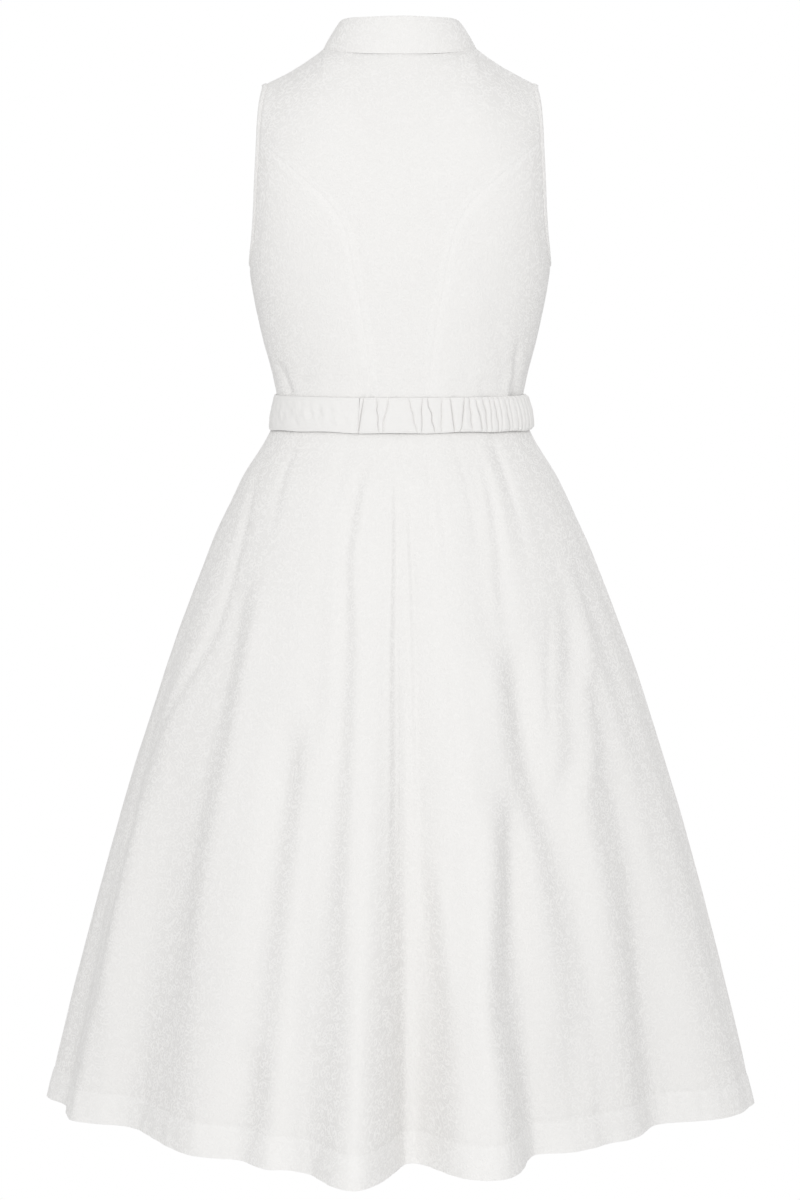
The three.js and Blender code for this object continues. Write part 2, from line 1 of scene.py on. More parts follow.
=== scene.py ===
# A sleeveless white dress with a stand collar, a princess-seamed bodice, a part-gathered belt and a flared
# skirt, seen from behind. Forms are worked out in millimetres and made in metres. A turn is an angle round
# the body in degrees: 0 at the centre back, 90 at the wearer's left side, 180 at the centre front.
import math
import bpy
import numpy as np
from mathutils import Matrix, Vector


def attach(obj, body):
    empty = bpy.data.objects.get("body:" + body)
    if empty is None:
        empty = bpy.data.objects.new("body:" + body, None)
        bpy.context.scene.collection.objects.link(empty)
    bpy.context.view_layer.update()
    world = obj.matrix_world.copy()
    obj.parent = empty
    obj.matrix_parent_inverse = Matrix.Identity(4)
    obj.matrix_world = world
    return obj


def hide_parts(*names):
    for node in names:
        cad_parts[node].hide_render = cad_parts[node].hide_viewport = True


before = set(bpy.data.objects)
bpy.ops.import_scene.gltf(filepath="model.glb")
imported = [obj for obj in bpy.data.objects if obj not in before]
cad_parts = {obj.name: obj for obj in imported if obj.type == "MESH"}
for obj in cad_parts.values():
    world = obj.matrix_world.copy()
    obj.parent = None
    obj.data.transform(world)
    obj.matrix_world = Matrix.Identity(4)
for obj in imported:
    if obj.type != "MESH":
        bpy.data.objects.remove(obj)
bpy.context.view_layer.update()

MM = 0.001
sharp_angle = 50

# Sizes of the dress
waist_z = -369
hem_z = -1134
hem_depth = 33
seam_gap = 0.3
back_chest_z = -150
front_chest_z = -205
underarm_z = -207
neck_half = 83
neck_point_z = 19.5
shoulder_tip_x = 149
shoulder_drop = 38
shoulder_hollow = 0.35
neck_softening = 13
back_neck_depth = 58
front_neck_depth = 70
back_neck_z = 12
front_neck_drop = 70
bust_x = 82
bust_z = -222
bust_reach = 62
bust_push = 9
armhole_back = 50
armhole_front = 56
binding_width = 6
collar_back_height = 40.5
collar_side_height = 27
collar_side_lean = 18
collar_back_lean = 9
collar_front_lean = 4
collar_height_bend = 0.75
placket_half = 13
button_count = 8
button_radius = 6.5
belt_button_radius = 1.2 * button_radius
button_lift = 2.7
buttonhole_below = 6.5
buttonhole_above = 10
buttonhole_pitch = 0.55
buttonhole_lip = 0.85
first_button_drop = 14
last_button_z = -336
belt_top_z = -350
belt_bottom_z = -387
belt_wall = 2.4
belt_overlap = 16
gather_left_turn = 17
gather_right_turn = -100
cloth_wall = 1.3
hem_wall = 2.2
collar_wall = 2.2
placket_wall = 1.2
placket_lift = 1.95
binding_wall = 2.2
collar_stitch = 4.5
placket_stitch = 10.4
binding_stitch_row = 2.2
allowance_inner = 7.5
allowance_outer = 9.5

# Rows and columns of the grids of cloth
princess_rows = 96
armhole_rows = 48
side_rows = 108
side_columns = 56
back_columns = 8
front_columns = 7
strip_columns = 8
placket_rows = 170
placket_columns = 25
collar_rows = 34
collar_columns = 241
binding_rows = 9
binding_columns = 44
skirt_rows = 176
hem_rows = 16
skirt_columns = 151
gather_rows = 36
gather_columns = 30
belt_rows = 30
belt_columns = 420

both_sides = (("left", 1), ("right", -1))
back_and_front = ((False, "back"), (True, "front"))
all_borders = ("start", "end", "top", "bottom")

# Sections from the lowest up: level, half width, depth behind, depth in front, how square
bodice_sections = np.array([
    (-369, 131.5, 84, 92, 2.1),
    (-335, 136.5, 88, 98, 2.15),
    (-291, 148, 94, 109, 2.25),
    (-248, 157, 100, 119, 2.4),
    (-207, 162.5, 104, 123, 2.5),
    (-140, 161.5, 107, 118, 2.9),
    (-70, 159.5, 104, 106, 3.1),
    (0, 160, 97, 96, 3.1),
])
skirt_sections = np.array([
    (-1134, 392, 266, 264, 1.78),
    (-888, 329.5, 224, 221, 1.85),
    (-664, 261, 180, 180, 1.95),
    (-531, 212, 147, 150, 2),
    (-444, 173.5, 119, 126, 2.05),
    (-400, 146.5, 98, 107, 2.1),
    (-369, 132, 84, 92, 2.1),
])

# Main folds of the skirt: turn, reach to each side, how far the hem moves out, and how late it grows on the
# way down
skirt_folds = [
    (7.2, 9.0, 82, 1.8), (-14.2, 11, 53, 1.8), (-3, 6, -14, 1.5), (14, 6, 28, 1.7), (27, 16, 22, 1.8),
    (54, 14, -32, 1.7), (79, 11, -16, 1.8), (-28, 9, -22, 1.8), (-46, 9, 14, 1.8), (-52, 22, -50, 1.8),
    (104, 13, -18, 1.8), (124, 9, 20, 1.7), (143, 10, -22, 1.8), (161, 9, 42, 1.5), (-171, 8, 30, 1.6),
    (-152, 10, 34, 1.5), (-131, 11, -26, 1.8), (-111, 9, 16, 1.8),
]

# Sides of folds on the back of the skirt: rise towards the wearer's left, half width at the hem, then share
# and turn down it
skirt_steps = [
    (-2.6, 12, [(0.03, 9.5), (0.09, 12.6), (0.15, 14.0), (0.19, 14.4), (0.32, 11.9), (0.65, 11.6),
                (0.85, 10.6), (1.0, 11.6)]),
    (1.3, 4, [(0.05, 1.8), (0.11, 2.0), (0.17, 1.8), (0.3, 2.0), (0.5, 1.9), (0.8, 1.8)]),
    (1.2, 4.5, [(0.09, -2.2), (0.13, -2.4), (0.19, -2.8), (0.25, -3.2), (0.41, -3.5), (0.52, -3.9),
                (0.66, -4.4)]),
    (-3.0, 9, [(0.56, -6.0), (0.71, -7.7), (0.8, -8.6), (1.0, -8.7)]),
    (8.5, 18, [(0.48, -22.0), (0.6, -21.2), (0.71, -19.0), (0.79, -18.0), (0.88, -19.8), (1.0, -21.2)]),
    (2.2, 12, [(0.04, -31.6), (0.14, -30.3), (0.25, -28.0), (0.32, -27.0)]),
    (9.0, 24, [(0.28, -27.2), (0.46, -27.4), (0.6, -30.8), (0.78, -32.2), (0.9, -31.2), (1.0, -32.4)]),
    (-4.0, 22, [(0.24, -55.0), (0.33, -52.5), (0.39, -47.5), (0.46, -46.0), (0.53, -40.0), (0.67, -41.0),
                (0.82, -42.0)]),
    (2.0, 24, [(0.16, -62.0), (0.33, -62.5), (0.45, -64.0), (0.6, -66.0)]),
    (1.2, 20, [(0.46, -52.0), (0.6, -54.0), (0.75, -52.0), (0.9, -50.0)]),
    (-3.0, 20, [(0.5, 72.0), (0.7, 70.0), (0.85, 68.0), (1.0, 68.0)]),
    (-8.5, 22, [(0.38, 22.6), (0.5, 22.7), (0.7, 23.5), (1.0, 23.7)]),
    (-6.0, 22, [(0.82, 24.0), (0.92, 24.4), (1.0, 24.8)]),
    (-4.4, 24, [(0.2, 46.0), (0.4, 43.5), (0.6, 44.0), (0.8, 42.0), (1.0, 40.5)]),
]

# Smaller creases of the skirt: height (a trough is below nought), half width at the hem, then share and
# turn down it
skirt_creases = [
    (-1.0, 6, [(0.02, -10.5), (0.09, -9.8), (0.14, -9.5), (0.2, -9.7)]),
    (-1.2, 7, [(0.02, -10.4), (0.08, -12.8), (0.13, -13.4), (0.17, -13.5), (0.25, -12.7)]),
    (-1.6, 9, [(0.28, -11.6), (0.36, -10.2), (0.45, -13.2), (0.56, -11.4), (0.68, -10.0)]),
    (-1.2, 9, [(0.01, -21.8), (0.07, -23.3), (0.11, -23.7), (0.2, -24.2)]),
    (-1.5, 13, [(0.02, -26.5), (0.1, -27.8), (0.2, -27.5), (0.3, -26.0)]),
    (1.6, 13, [(0.01, -36.0), (0.1, -35.0), (0.22, -33.0)]),
    (-1.5, 13, [(0.01, -43.0), (0.1, -42.0), (0.22, -40.0)]),
    (-2.0, 11, [(0.24, -46.6), (0.34, -40.0), (0.42, -37.0), (0.52, -34.0)]),
    (-1.6, 16, [(0.01, -44.5), (0.05, -43.0), (0.14, -40.0)]),
    (-1.6, 14, [(0.01, 50.0), (0.09, 47.2), (0.18, 43.5)]),
    (-3.0, 16, [(0.05, 70.0), (0.15, 60.0), (0.28, 57.5), (0.36, 63.0), (0.46, 73.0), (0.56, 80.0)]),
    (-1.3, 16, [(0.01, 20.0), (0.08, 22.0), (0.16, 23.0)]),
    (2.5, 18, [(0.12, 18.0), (0.24, 18.2), (0.37, 17.6), (0.5, 16.4)]),
    (3.0, 24, [(0.5, -60.0), (0.62, -61.0), (0.8, -64.0), (1.0, -64.0)]),
    (-3.5, 14, [(0.8, 66.0), (0.92, 64.6), (1.0, 64.0)]),
    (1.5, 18, [(0.1, 78.0), (0.4, 84.0), (0.8, 74.0), (1.0, 73.0)]),
    (3.5, 17, [(0.1, -80.0), (0.5, -84.0), (1.0, -83.0)]),
    (-4.0, 18, [(0.14, -94.0), (0.5, -97.0), (1.0, -95.0)]),
    (4.0, 16, [(0.08, 98.0), (0.4, 96.0), (1.0, 93.0)]),
    (-4.5, 15, [(0.12, 112.0), (0.45, 115.0), (0.8, 116.0), (1.0, 115.0)]),
    (4.5, 15, [(0.06, 128.0), (0.4, 127.0), (0.75, 124.0), (1.0, 124.0)]),
    (-4.0, 14, [(0.14, 136.0), (0.5, 134.0), (1.0, 133.5)]),
    (-4.5, 13, [(0.1, 150.0), (0.4, 152.0), (1.0, 152.0)]),
    (4.5, 14, [(0.04, 163.0), (0.35, 163.0), (0.7, 161.0), (1.0, 161.0)]),
    (-4.5, 12, [(0.1, 171.0), (0.5, 170.0), (1.0, 169.5)]),
    (3.5, 12, [(0.05, -174.0), (0.5, -172.0), (1.0, -171.0)]),
    (-4.5, 13, [(0.1, -164.0), (0.5, -163.0), (1.0, -162.5)]),
    (4.5, 14, [(0.05, -150.0), (0.4, -152.0), (1.0, -152.0)]),
    (-4.5, 15, [(0.1, -141.0), (0.5, -139.0), (1.0, -141.0)]),
    (4.0, 16, [(0.08, -122.0), (0.5, -121.0), (1.0, -122.0)]),
    (-4.0, 16, [(0.2, -130.0), (0.6, -131.0), (1.0, -130.0)]),
    (4.0, 15, [(0.05, -108.0), (0.5, -111.0), (1.0, -110.0)]),
]

# Small creases of the bodice back: x and level of both ends, half width and height
bodice_creases = [
    ((133, -310), (120, -344), 4.0, -2.6),
    ((127, -318), (117, -347), 3.5, -1.4),
    ((-127, -286), (-124, -349), 4.0, -3.4),
    ((-118, -312), (-114, -349), 4.5, 1.2),
    ((-121, -330), (-118, -349), 3.0, -1.2),
    ((41, -318), (39, -349), 3.0, -1.2),
    ((30, -330), (31, -349), 3.0, -0.8),
    ((-26, -322), (-28, -349), 3.0, -0.9),
    ((-54, -326), (-58, -349), 3.5, -0.9),
    ((-84, -330), (-90, -349), 4.0, -1.2),
    ((8, -332), (5, -349), 3.0, -0.6),
    ((62, -296), (74, -345), 6.0, -0.7),
    ((-58, -286), (-76, -340), 7.0, -0.7),
    ((96, -292), (104, -340), 6.0, -0.6),
    ((-96, -250), (-112, -330), 8.0, -0.8),
]

# Princess seams from the waist up: level, half the distance between the pair
back_princess = np.array([
    (-369, 32), (-310, 34), (-261, 41), (-220, 49), (-174, 58), (-146, 74), (-118, 104),
], float)
front_princess = np.array([
    (-369, 58), (-310, 67), (-255, 80), (-215, 88), (-170, 97), (-136, 114),
], float)

# How far up the armhole a princess seam meets it, as a share of the way to the shoulder tip
back_meeting = 0.62
front_meeting = 0.6


def lerp(a, b, t):
    return a + (b - a) * t


def smooth(low, high, value):
    """0 below low, 1 above high, with a soft start and end."""
    t = np.clip((value - low) / (high - low), 0, 1)
    return t * t * (3 - 2 * t)


def power(value, exponent):
    return np.sign(value) * np.abs(value) ** exponent


def cubic(t, start, leaving, end, arriving):
    """A smooth curve from start to end with the given slopes, at the share t of the way."""
    return (
        (2 * t**3 - 3 * t**2 + 1) * start
        + (t**3 - 2 * t**2 + t) * leaving
        + (3 * t**2 - 2 * t**3) * end
        + (t**3 - t**2) * arriving
    )


def smooth_column(table, column, at):
    """A smooth curve through one column of a table whose first column rises."""
    levels, values = table[:, 0], table[:, column]
    slopes = np.empty(len(levels))
    slopes[1:-1] = (values[2:] - values[:-2]) / (levels[2:] - levels[:-2])
    slopes[0] = (values[1] - values[0]) / (levels[1] - levels[0])
    slopes[-1] = (values[-1] - values[-2]) / (levels[-1] - levels[-2])
    k = np.clip(np.searchsorted(levels, at, side="right") - 1, 0, len(levels) - 2)
    span = levels[k + 1] - levels[k]
    t = np.clip((at - levels[k]) / span, 0, 1)
    return cubic(t, values[k], span * slopes[k], values[k + 1], span * slopes[k + 1])


def section_at(table, z):
    """Half width, depth behind, depth in front and squareness at level z."""
    return [smooth_column(table, column, z) for column in (1, 2, 3, 4)]


def section_point(section, turn, ease=0.0):
    """x and y of a section at a turn, grown outwards by an ease."""
    half, back, front, square = section
    sine, cosine = np.sin(np.radians(turn)), np.cos(np.radians(turn))
    depth = np.where(cosine >= 0, back, front)
    return (half + ease) * power(sine, 2 / square), (depth + ease) * power(cosine, 2 / square)


def turn_at_width(section, x):
    share = np.clip(x / section[0], 0, 1)
    return np.degrees(np.arcsin(share ** (section[3] / 2)))


def top_edge_z(x, front):
    """The upper edge of the cloth: the neckline, then the shoulder seam."""
    share = np.abs(x) / neck_half
    inside = np.clip(share, 0, 1)
    if front:
        neck = neck_point_z - front_neck_drop * (1 - inside**2) ** 0.6
    else:
        neck = lerp(back_neck_z, neck_point_z, inside**3)
    along = (np.abs(x) - neck_half) / (shoulder_tip_x - neck_half)
    hollow = shoulder_hollow * along * (1 - along)
    return np.where(share < 1, neck, neck_point_z - shoulder_drop * (along + hollow))


def neck_share(x):
    return np.clip(np.abs(x) / neck_half, 0, 1)


def softened(function):
    """A function of the distance from the centre line, blurred so that the neck's corners leave no crease."""
    step = 0.5
    reach, blur = 300, 60
    x = np.arange(-reach, reach + step, step)
    spread = np.arange(-blur, blur + step, step)
    weight = np.exp(-((spread / neck_softening) ** 2) / 2)
    padded = np.pad(function(x), len(spread) // 2, mode="edge")
    blurred = np.convolve(padded, weight / weight.sum(), mode="valid")
    return lambda at: np.interp(np.abs(at), x, blurred)


soft_share = softened(neck_share)
soft_arch = softened(lambda x: np.sqrt(1 - neck_share(x) ** 2))
soft_top = {front: softened(lambda x, front=front: top_edge_z(x, front)) for front in (False, True)}


def top_z_for(x, over, front):
    """The level that a column of the bodice climbs to: softened low down, the true upper edge at the top."""
    return lerp(soft_top[front](x), top_edge_z(x, front), smooth(0.8, 1, over))


def chest_z(front):
    return front_chest_z if front else back_chest_z


def bodice_point(turn, rise, front):
    """A point of one half of the bodice.

    A rise of 0 is the waist seam, 1 the chest, and 2 the neckline and shoulder seam.
    """
    turn, rise = np.broadcast_arrays(np.asarray(turn, float), np.asarray(rise, float))
    over = np.clip(rise - 1, 0, 1)
    level = np.where(rise <= 1, lerp(waist_z, chest_z(front), rise), lerp(chest_z(front), 0, over))
    x, y = section_point(section_at(bodice_sections, level), turn)
    hold = smooth(0.8, 1, over)
    share = lerp(soft_share(x), neck_share(x), hold)
    arch = lerp(soft_arch(x), np.sqrt(1 - neck_share(x) ** 2), hold)
    closing = (1 - over ** lerp(1.6, 2.6, share)) ** (1 / lerp(1, 2, share**2))
    edge = (-front_neck_depth if front else back_neck_depth) * arch
    y = np.where(over > 0, lerp(edge, y, closing), y)
    z = np.where(over > 0, lerp(chest_z(front), top_z_for(x, over, front), over), level)
    if front:
        away = np.hypot(np.abs(x) - bust_x, z - bust_z) / bust_reach
        y = y - bust_push * np.exp(-away * away) * np.abs(np.cos(np.radians(turn)))
    return np.stack([x, y, z], -1)


def rise_at(x, z, front):
    low = chest_z(front)
    over = np.clip((z - low) / (top_edge_z(x, front) - low), 0, 1)
    for _ in range(6):
        over = np.clip((z - low) / (top_z_for(x, over, front) - low), 0, 1)
    return np.where(z <= low, (z - waist_z) / (low - waist_z), 1 + over)


def section_at_rise(rise, front):
    low = chest_z(front)
    return section_at(bodice_sections, np.where(rise <= 1, lerp(waist_z, low, rise), lerp(low, 0, rise - 1)))


def armhole_place(along, front, inset):
    """Turn from the centre line and rise on the armhole line, from 0 at the underarm to 1 at the shoulder."""
    along = np.clip(np.asarray(along, float), 0, 1)
    tip = shoulder_tip_x - inset
    z = lerp(underarm_z - inset, top_edge_z(tip, front), (1 - np.cos(np.pi * along)) / 2)
    stand = (armhole_front if front else armhole_back) + inset
    depth = stand * np.clip(np.sin(np.pi * along), 0, 1) ** 0.85
    near, far = np.zeros_like(along), np.full_like(along, 90.0)
    rise = rise_at(section_at(bodice_sections, z)[0], z, front)
    for _ in range(40):
        turn = (near + far) / 2
        for _ in range(3):
            rise = rise_at(bodice_point(turn, rise, front)[..., 0], z, front)
        outside = np.abs(bodice_point(turn, rise, front)[..., 1]) > depth
        near, far = np.where(outside, turn, near), np.where(outside, far, turn)
    ended = along >= 1
    turn = np.where(ended, turn_at_width(section_at_rise(2.0, front), tip), turn)
    rise = np.where(ended, 2.0, rise)
    turn = np.where(along <= 0, 90.0, turn)
    rise = np.where(along <= 0, rise_at(0.0, underarm_z - inset, front), rise)
    return turn, rise


def along_line(line, run, at):
    """Points or directions at distances run along a line."""
    return np.stack([np.interp(at, run, line[:, k]) for k in range(line.shape[1])], -1)


def run_along(line):
    """Distance run along a line from its first point."""
    return np.concatenate([[0], np.cumsum(np.linalg.norm(np.diff(line, axis=0), axis=1))])


def evenly_along(line, count):
    """Evenly spaced points along a line, both ends included."""
    run = run_along(line)
    return along_line(line, run, np.linspace(0, run[-1], count))


def even_curve(corners, count):
    """Evenly spaced points on a smooth curve through corners, with the tangents of a centripetal spline."""
    points = np.vstack([2 * corners[0] - corners[1], corners, 2 * corners[-1] - corners[-2]])
    spans = np.linalg.norm(np.diff(points, axis=0), axis=1) ** 0.5

    def slope(k):
        into, out = points[k] - points[k - 1], points[k + 1] - points[k]
        return into / spans[k - 1] - (into + out) / (spans[k - 1] + spans[k]) + out / spans[k]

    t = np.linspace(0, 1, 60)[:, None]
    line = np.vstack([
        cubic(t, points[k], slope(k) * spans[k], points[k + 1], slope(k + 1) * spans[k])
        for k in range(1, len(points) - 2)
    ])
    return evenly_along(line, count + 1)


def princess_places(front, count):
    """Turns and rises up a princess seam, from the waist to the armhole."""
    table, meeting = (front_princess, front_meeting) if front else (back_princess, back_meeting)
    last = armhole_place(meeting, front, binding_width)
    corner = bodice_point(180 - last[0] if front else last[0], last[1], front)
    corners = np.vstack([table[:, ::-1], [abs(corner[0]), corner[2]]])
    line = even_curve(corners, count)
    rise = rise_at(line[:, 0], line[:, 1], front)
    turn = turn_at_width(section_at_rise(rise, front), line[:, 0])
    turn[-1], rise[-1] = last
    return turn, rise


def centre_edge(front):
    """Turns and rises up the outer edge of a centre panel: its princess seam, then its armhole."""
    meeting = front_meeting if front else back_meeting
    turn, rise = princess_places(front, princess_rows)
    along = lerp(meeting, 1, np.arange(1, armhole_rows + 1) / armhole_rows)
    arm_turn, arm_rise = armhole_place(along, front, binding_width)
    return np.concatenate([turn, arm_turn]), np.concatenate([rise, arm_rise])


def top_turns(front, per_column):
    """Turns of the columns of the neckline and shoulder seam, from the centre line to the shoulder tip."""
    section = section_at_rise(2.0, front)
    across = 5 if front else 4
    neck = neck_half * np.sin(np.pi / 2 * np.arange(across * per_column + 1) / (across * per_column))
    out = np.arange(1, 4 * per_column + 1) / (4 * per_column)
    shoulder = lerp(neck_half, shoulder_tip_x - binding_width, out)
    return turn_at_width(section, np.concatenate([neck, shoulder]))


def centre_turns(edge_turn, rise, tops):
    """Turns of a grid from the centre line to its edge: even at the waist, and at the top as the neck is."""
    even = np.arange(len(tops)) / (len(tops) - 1)
    at_top = tops / tops[-1]
    return edge_turn[:, None] * lerp(even[None, :], at_top[None, :], np.clip(rise[:, None] - 1, 0, 1))


def side_places(front):
    """Turns and rises of a side panel: a grid spread between waist, princess seam, side seam and armhole."""
    meeting = front_meeting if front else back_meeting
    seam = np.stack(princess_places(front, side_rows), -1)
    up = (np.arange(side_rows + 1) / side_rows)[:, None, None]
    out = (np.arange(side_columns + 1) / side_columns)[None, :, None]
    low_seam, high_seam = seam[0], seam[-1]
    low_side = np.array([90.0, 0.0])
    high_side = np.array(armhole_place(0.0, front, binding_width))
    high = np.stack(armhole_place(meeting * (1 - out[0, :, 0]), front, binding_width), -1)[None]
    high[0, -1] = high_side
    low = lerp(low_seam, low_side, out)
    across = lerp(seam[:, None, :], lerp(low_side, high_side, up), out)
    upwards = lerp(low, high, up)
    places = across + upwards - lerp(low, lerp(high_seam, high_side, out), up)
    return places[..., 0], places[..., 1]


def waves(points, length, seed):
    """Soft unevenness between -1 and 1 with about that wave length."""
    draw = np.random.default_rng(seed)
    total = 0
    for _ in range(6):
        way = draw.normal(size=points.shape[-1])
        way /= np.linalg.norm(way)
        pace = draw.uniform(0.6, 1.5)
        start = draw.uniform(0, 6.3)
        total = total + np.sin(points @ way * (2 * np.pi / length) * pace + start)
    return total / 6


# Cloth walls


def grid_normals(points, towards):
    """Outward normals of a grid of points. Towards is a rough outward direction for each."""
    up = np.gradient(points, axis=0)
    along = np.gradient(points, axis=1)
    normals = np.cross(up, along)
    normals /= np.maximum(np.linalg.norm(normals, axis=-1, keepdims=True), 1e-9)
    if np.mean(np.sum(normals * towards, -1)) < 0:
        normals = -normals
    return normals


def run_lengths(points, axis):
    """Distance run along a grid from its first row or column."""
    steps = np.linalg.norm(np.diff(points, axis=axis), axis=-1)
    run = np.cumsum(steps, axis=axis)
    first = np.zeros_like(np.take(run, [0], axis=axis))
    return np.concatenate([first, run], axis=axis)


def edge_distance(points, borders):
    """How far each point of a grid is from the nearest of the named borders, in millimetres."""
    across = run_lengths(points, 1)
    up = run_lengths(points, 0)
    found = np.full(points.shape[:2], 1e3)
    for border, distance in (
        ("start", across),
        ("end", across[:, -1:] - across),
        ("bottom", up),
        ("top", up[-1:] - up),
    ):
        if border in borders:
            found = np.minimum(found, distance)
    return found


def make_mesh(name, vertices, faces, uv, marks, material):
    """A smooth mesh with its place on the flat cloth as UV, and a value for each point under each mark."""
    mesh = bpy.data.meshes.new(name)
    mesh.from_pydata((vertices * MM).tolist(), [], faces.tolist())
    corners = np.empty(len(mesh.loops), np.int32)
    mesh.loops.foreach_get("vertex_index", corners)
    layer = mesh.uv_layers.new(name="cut")
    layer.data.foreach_set("uv", uv[corners].astype(np.float32).ravel())
    for mark, values in marks.items():
        attribute = mesh.attributes.new(mark, "FLOAT", "POINT")
        attribute.data.foreach_set("value", values.astype(np.float32))
    mesh.polygons.foreach_set("use_smooth", [True] * len(mesh.polygons))
    mesh.set_sharp_from_angle(angle=math.radians(sharp_angle))
    mesh.materials.append(material)
    piece = bpy.data.objects.new(name, mesh)
    bpy.context.scene.collection.objects.link(piece)
    return piece


def wall(name, outer, inner, material, marks=None, loop=False):
    """A closed thin wall between two grids of points. A loop joins its last column to its first."""
    rows, columns = outer.shape[:2]
    count = rows * columns
    index = np.arange(count).reshape(rows, columns)
    shown = np.concatenate([index, index[:, :1]], 1) if loop else index
    quads = [np.stack([shown[:-1, :-1], shown[:-1, 1:], shown[1:, 1:], shown[1:, :-1]], -1).reshape(-1, 4)]
    quads.append(quads[0][:, ::-1] + count)

    def rim(line, turned):
        face = np.stack([line[:-1], line[1:], line[1:] + count, line[:-1] + count], -1)
        quads.append(face[:, ::-1] if not turned else face)

    rim(shown[0], False)
    rim(shown[-1], True)
    if not loop:
        rim(index[:, 0], True)
        rim(index[:, -1], False)
    faces = np.vstack(quads)
    vertices = np.concatenate([outer.reshape(-1, 3), inner.reshape(-1, 3)])
    one, two, three, four = (vertices[faces[:, k]] for k in range(4))
    volume = np.sum(np.cross(one, two) * three + np.cross(one, three) * four)
    if volume < 0:
        faces = faces[:, ::-1]
    across = run_lengths(outer, 1)
    up = run_lengths(outer, 0)
    middle = across[:, across.shape[1] // 2][:, None]
    height = np.broadcast_to(up.mean(1, keepdims=True), across.shape)
    uv = np.stack([across - middle, height], -1).reshape(-1, 2)
    found = {mark: np.tile(values.ravel(), 2) for mark, values in (marks or {}).items()}
    return make_mesh(name, vertices, faces, np.concatenate([uv, uv]), found, material)


# The outer grid of each piece of cloth and its normals, for the stitches laid on it
laid = {}


def cloth_panel(name, points, towards, borders, thickness=cloth_wall, roll=0.25, marks=None):
    """A panel of cloth on a grid of points. Its named borders turn in, as sewn cloth does at a seam."""
    normals = grid_normals(points, towards)
    edge = edge_distance(points, borders)
    turned = points - normals * (roll * (1 - smooth(0, 2.4, edge)) ** 1.5)[..., None]
    inner = turned - normals * (np.broadcast_to(thickness, edge.shape))[..., None]
    laid[name] = (turned, normals)
    return wall(name, turned, inner, jacquard, marks)


# Materials


class Nodes:
    """Places nodes in a tree and joins them."""

    def __init__(self, tree):
        self.tree = tree

    def add(self, kind, values=None, **settings):
        node = self.tree.nodes.new(kind)
        for key, value in settings.items():
            setattr(node, key, value)
        for key, value in (values or {}).items():
            self.put(node.inputs[key], value)
        return node

    def put(self, socket, value):
        if isinstance(value, bpy.types.NodeSocket):
            self.tree.links.new(value, socket)
        else:
            socket.default_value = value

    def math(self, operation, *values, clamp=False):
        node = self.add("ShaderNodeMath", operation=operation, use_clamp=clamp)
        for socket, value in zip(node.inputs, values):
            self.put(socket, value)
        return node.outputs[0]

    def vector(self, operation, *values):
        node = self.add("ShaderNodeVectorMath", operation=operation)
        for socket, value in zip(node.inputs, values):
            self.put(socket, value)
        return node

    def noise(self, place, scale, detail):
        values = {"Vector": place, "Scale": scale, "Detail": detail}
        return self.add("ShaderNodeTexNoise", values, noise_dimensions="2D")


def shader_group(name, inputs, outputs):
    tree = bpy.data.node_groups.new(name, "ShaderNodeTree")
    for socket, kind, value in inputs:
        made = tree.interface.new_socket(name=socket, in_out="INPUT", socket_type=kind)
        if value is not None:
            made.default_value = value
    for socket, kind in outputs:
        tree.interface.new_socket(name=socket, in_out="OUTPUT", socket_type=kind)
    nodes = Nodes(tree)
    return nodes, nodes.add("NodeGroupInput"), nodes.add("NodeGroupOutput")


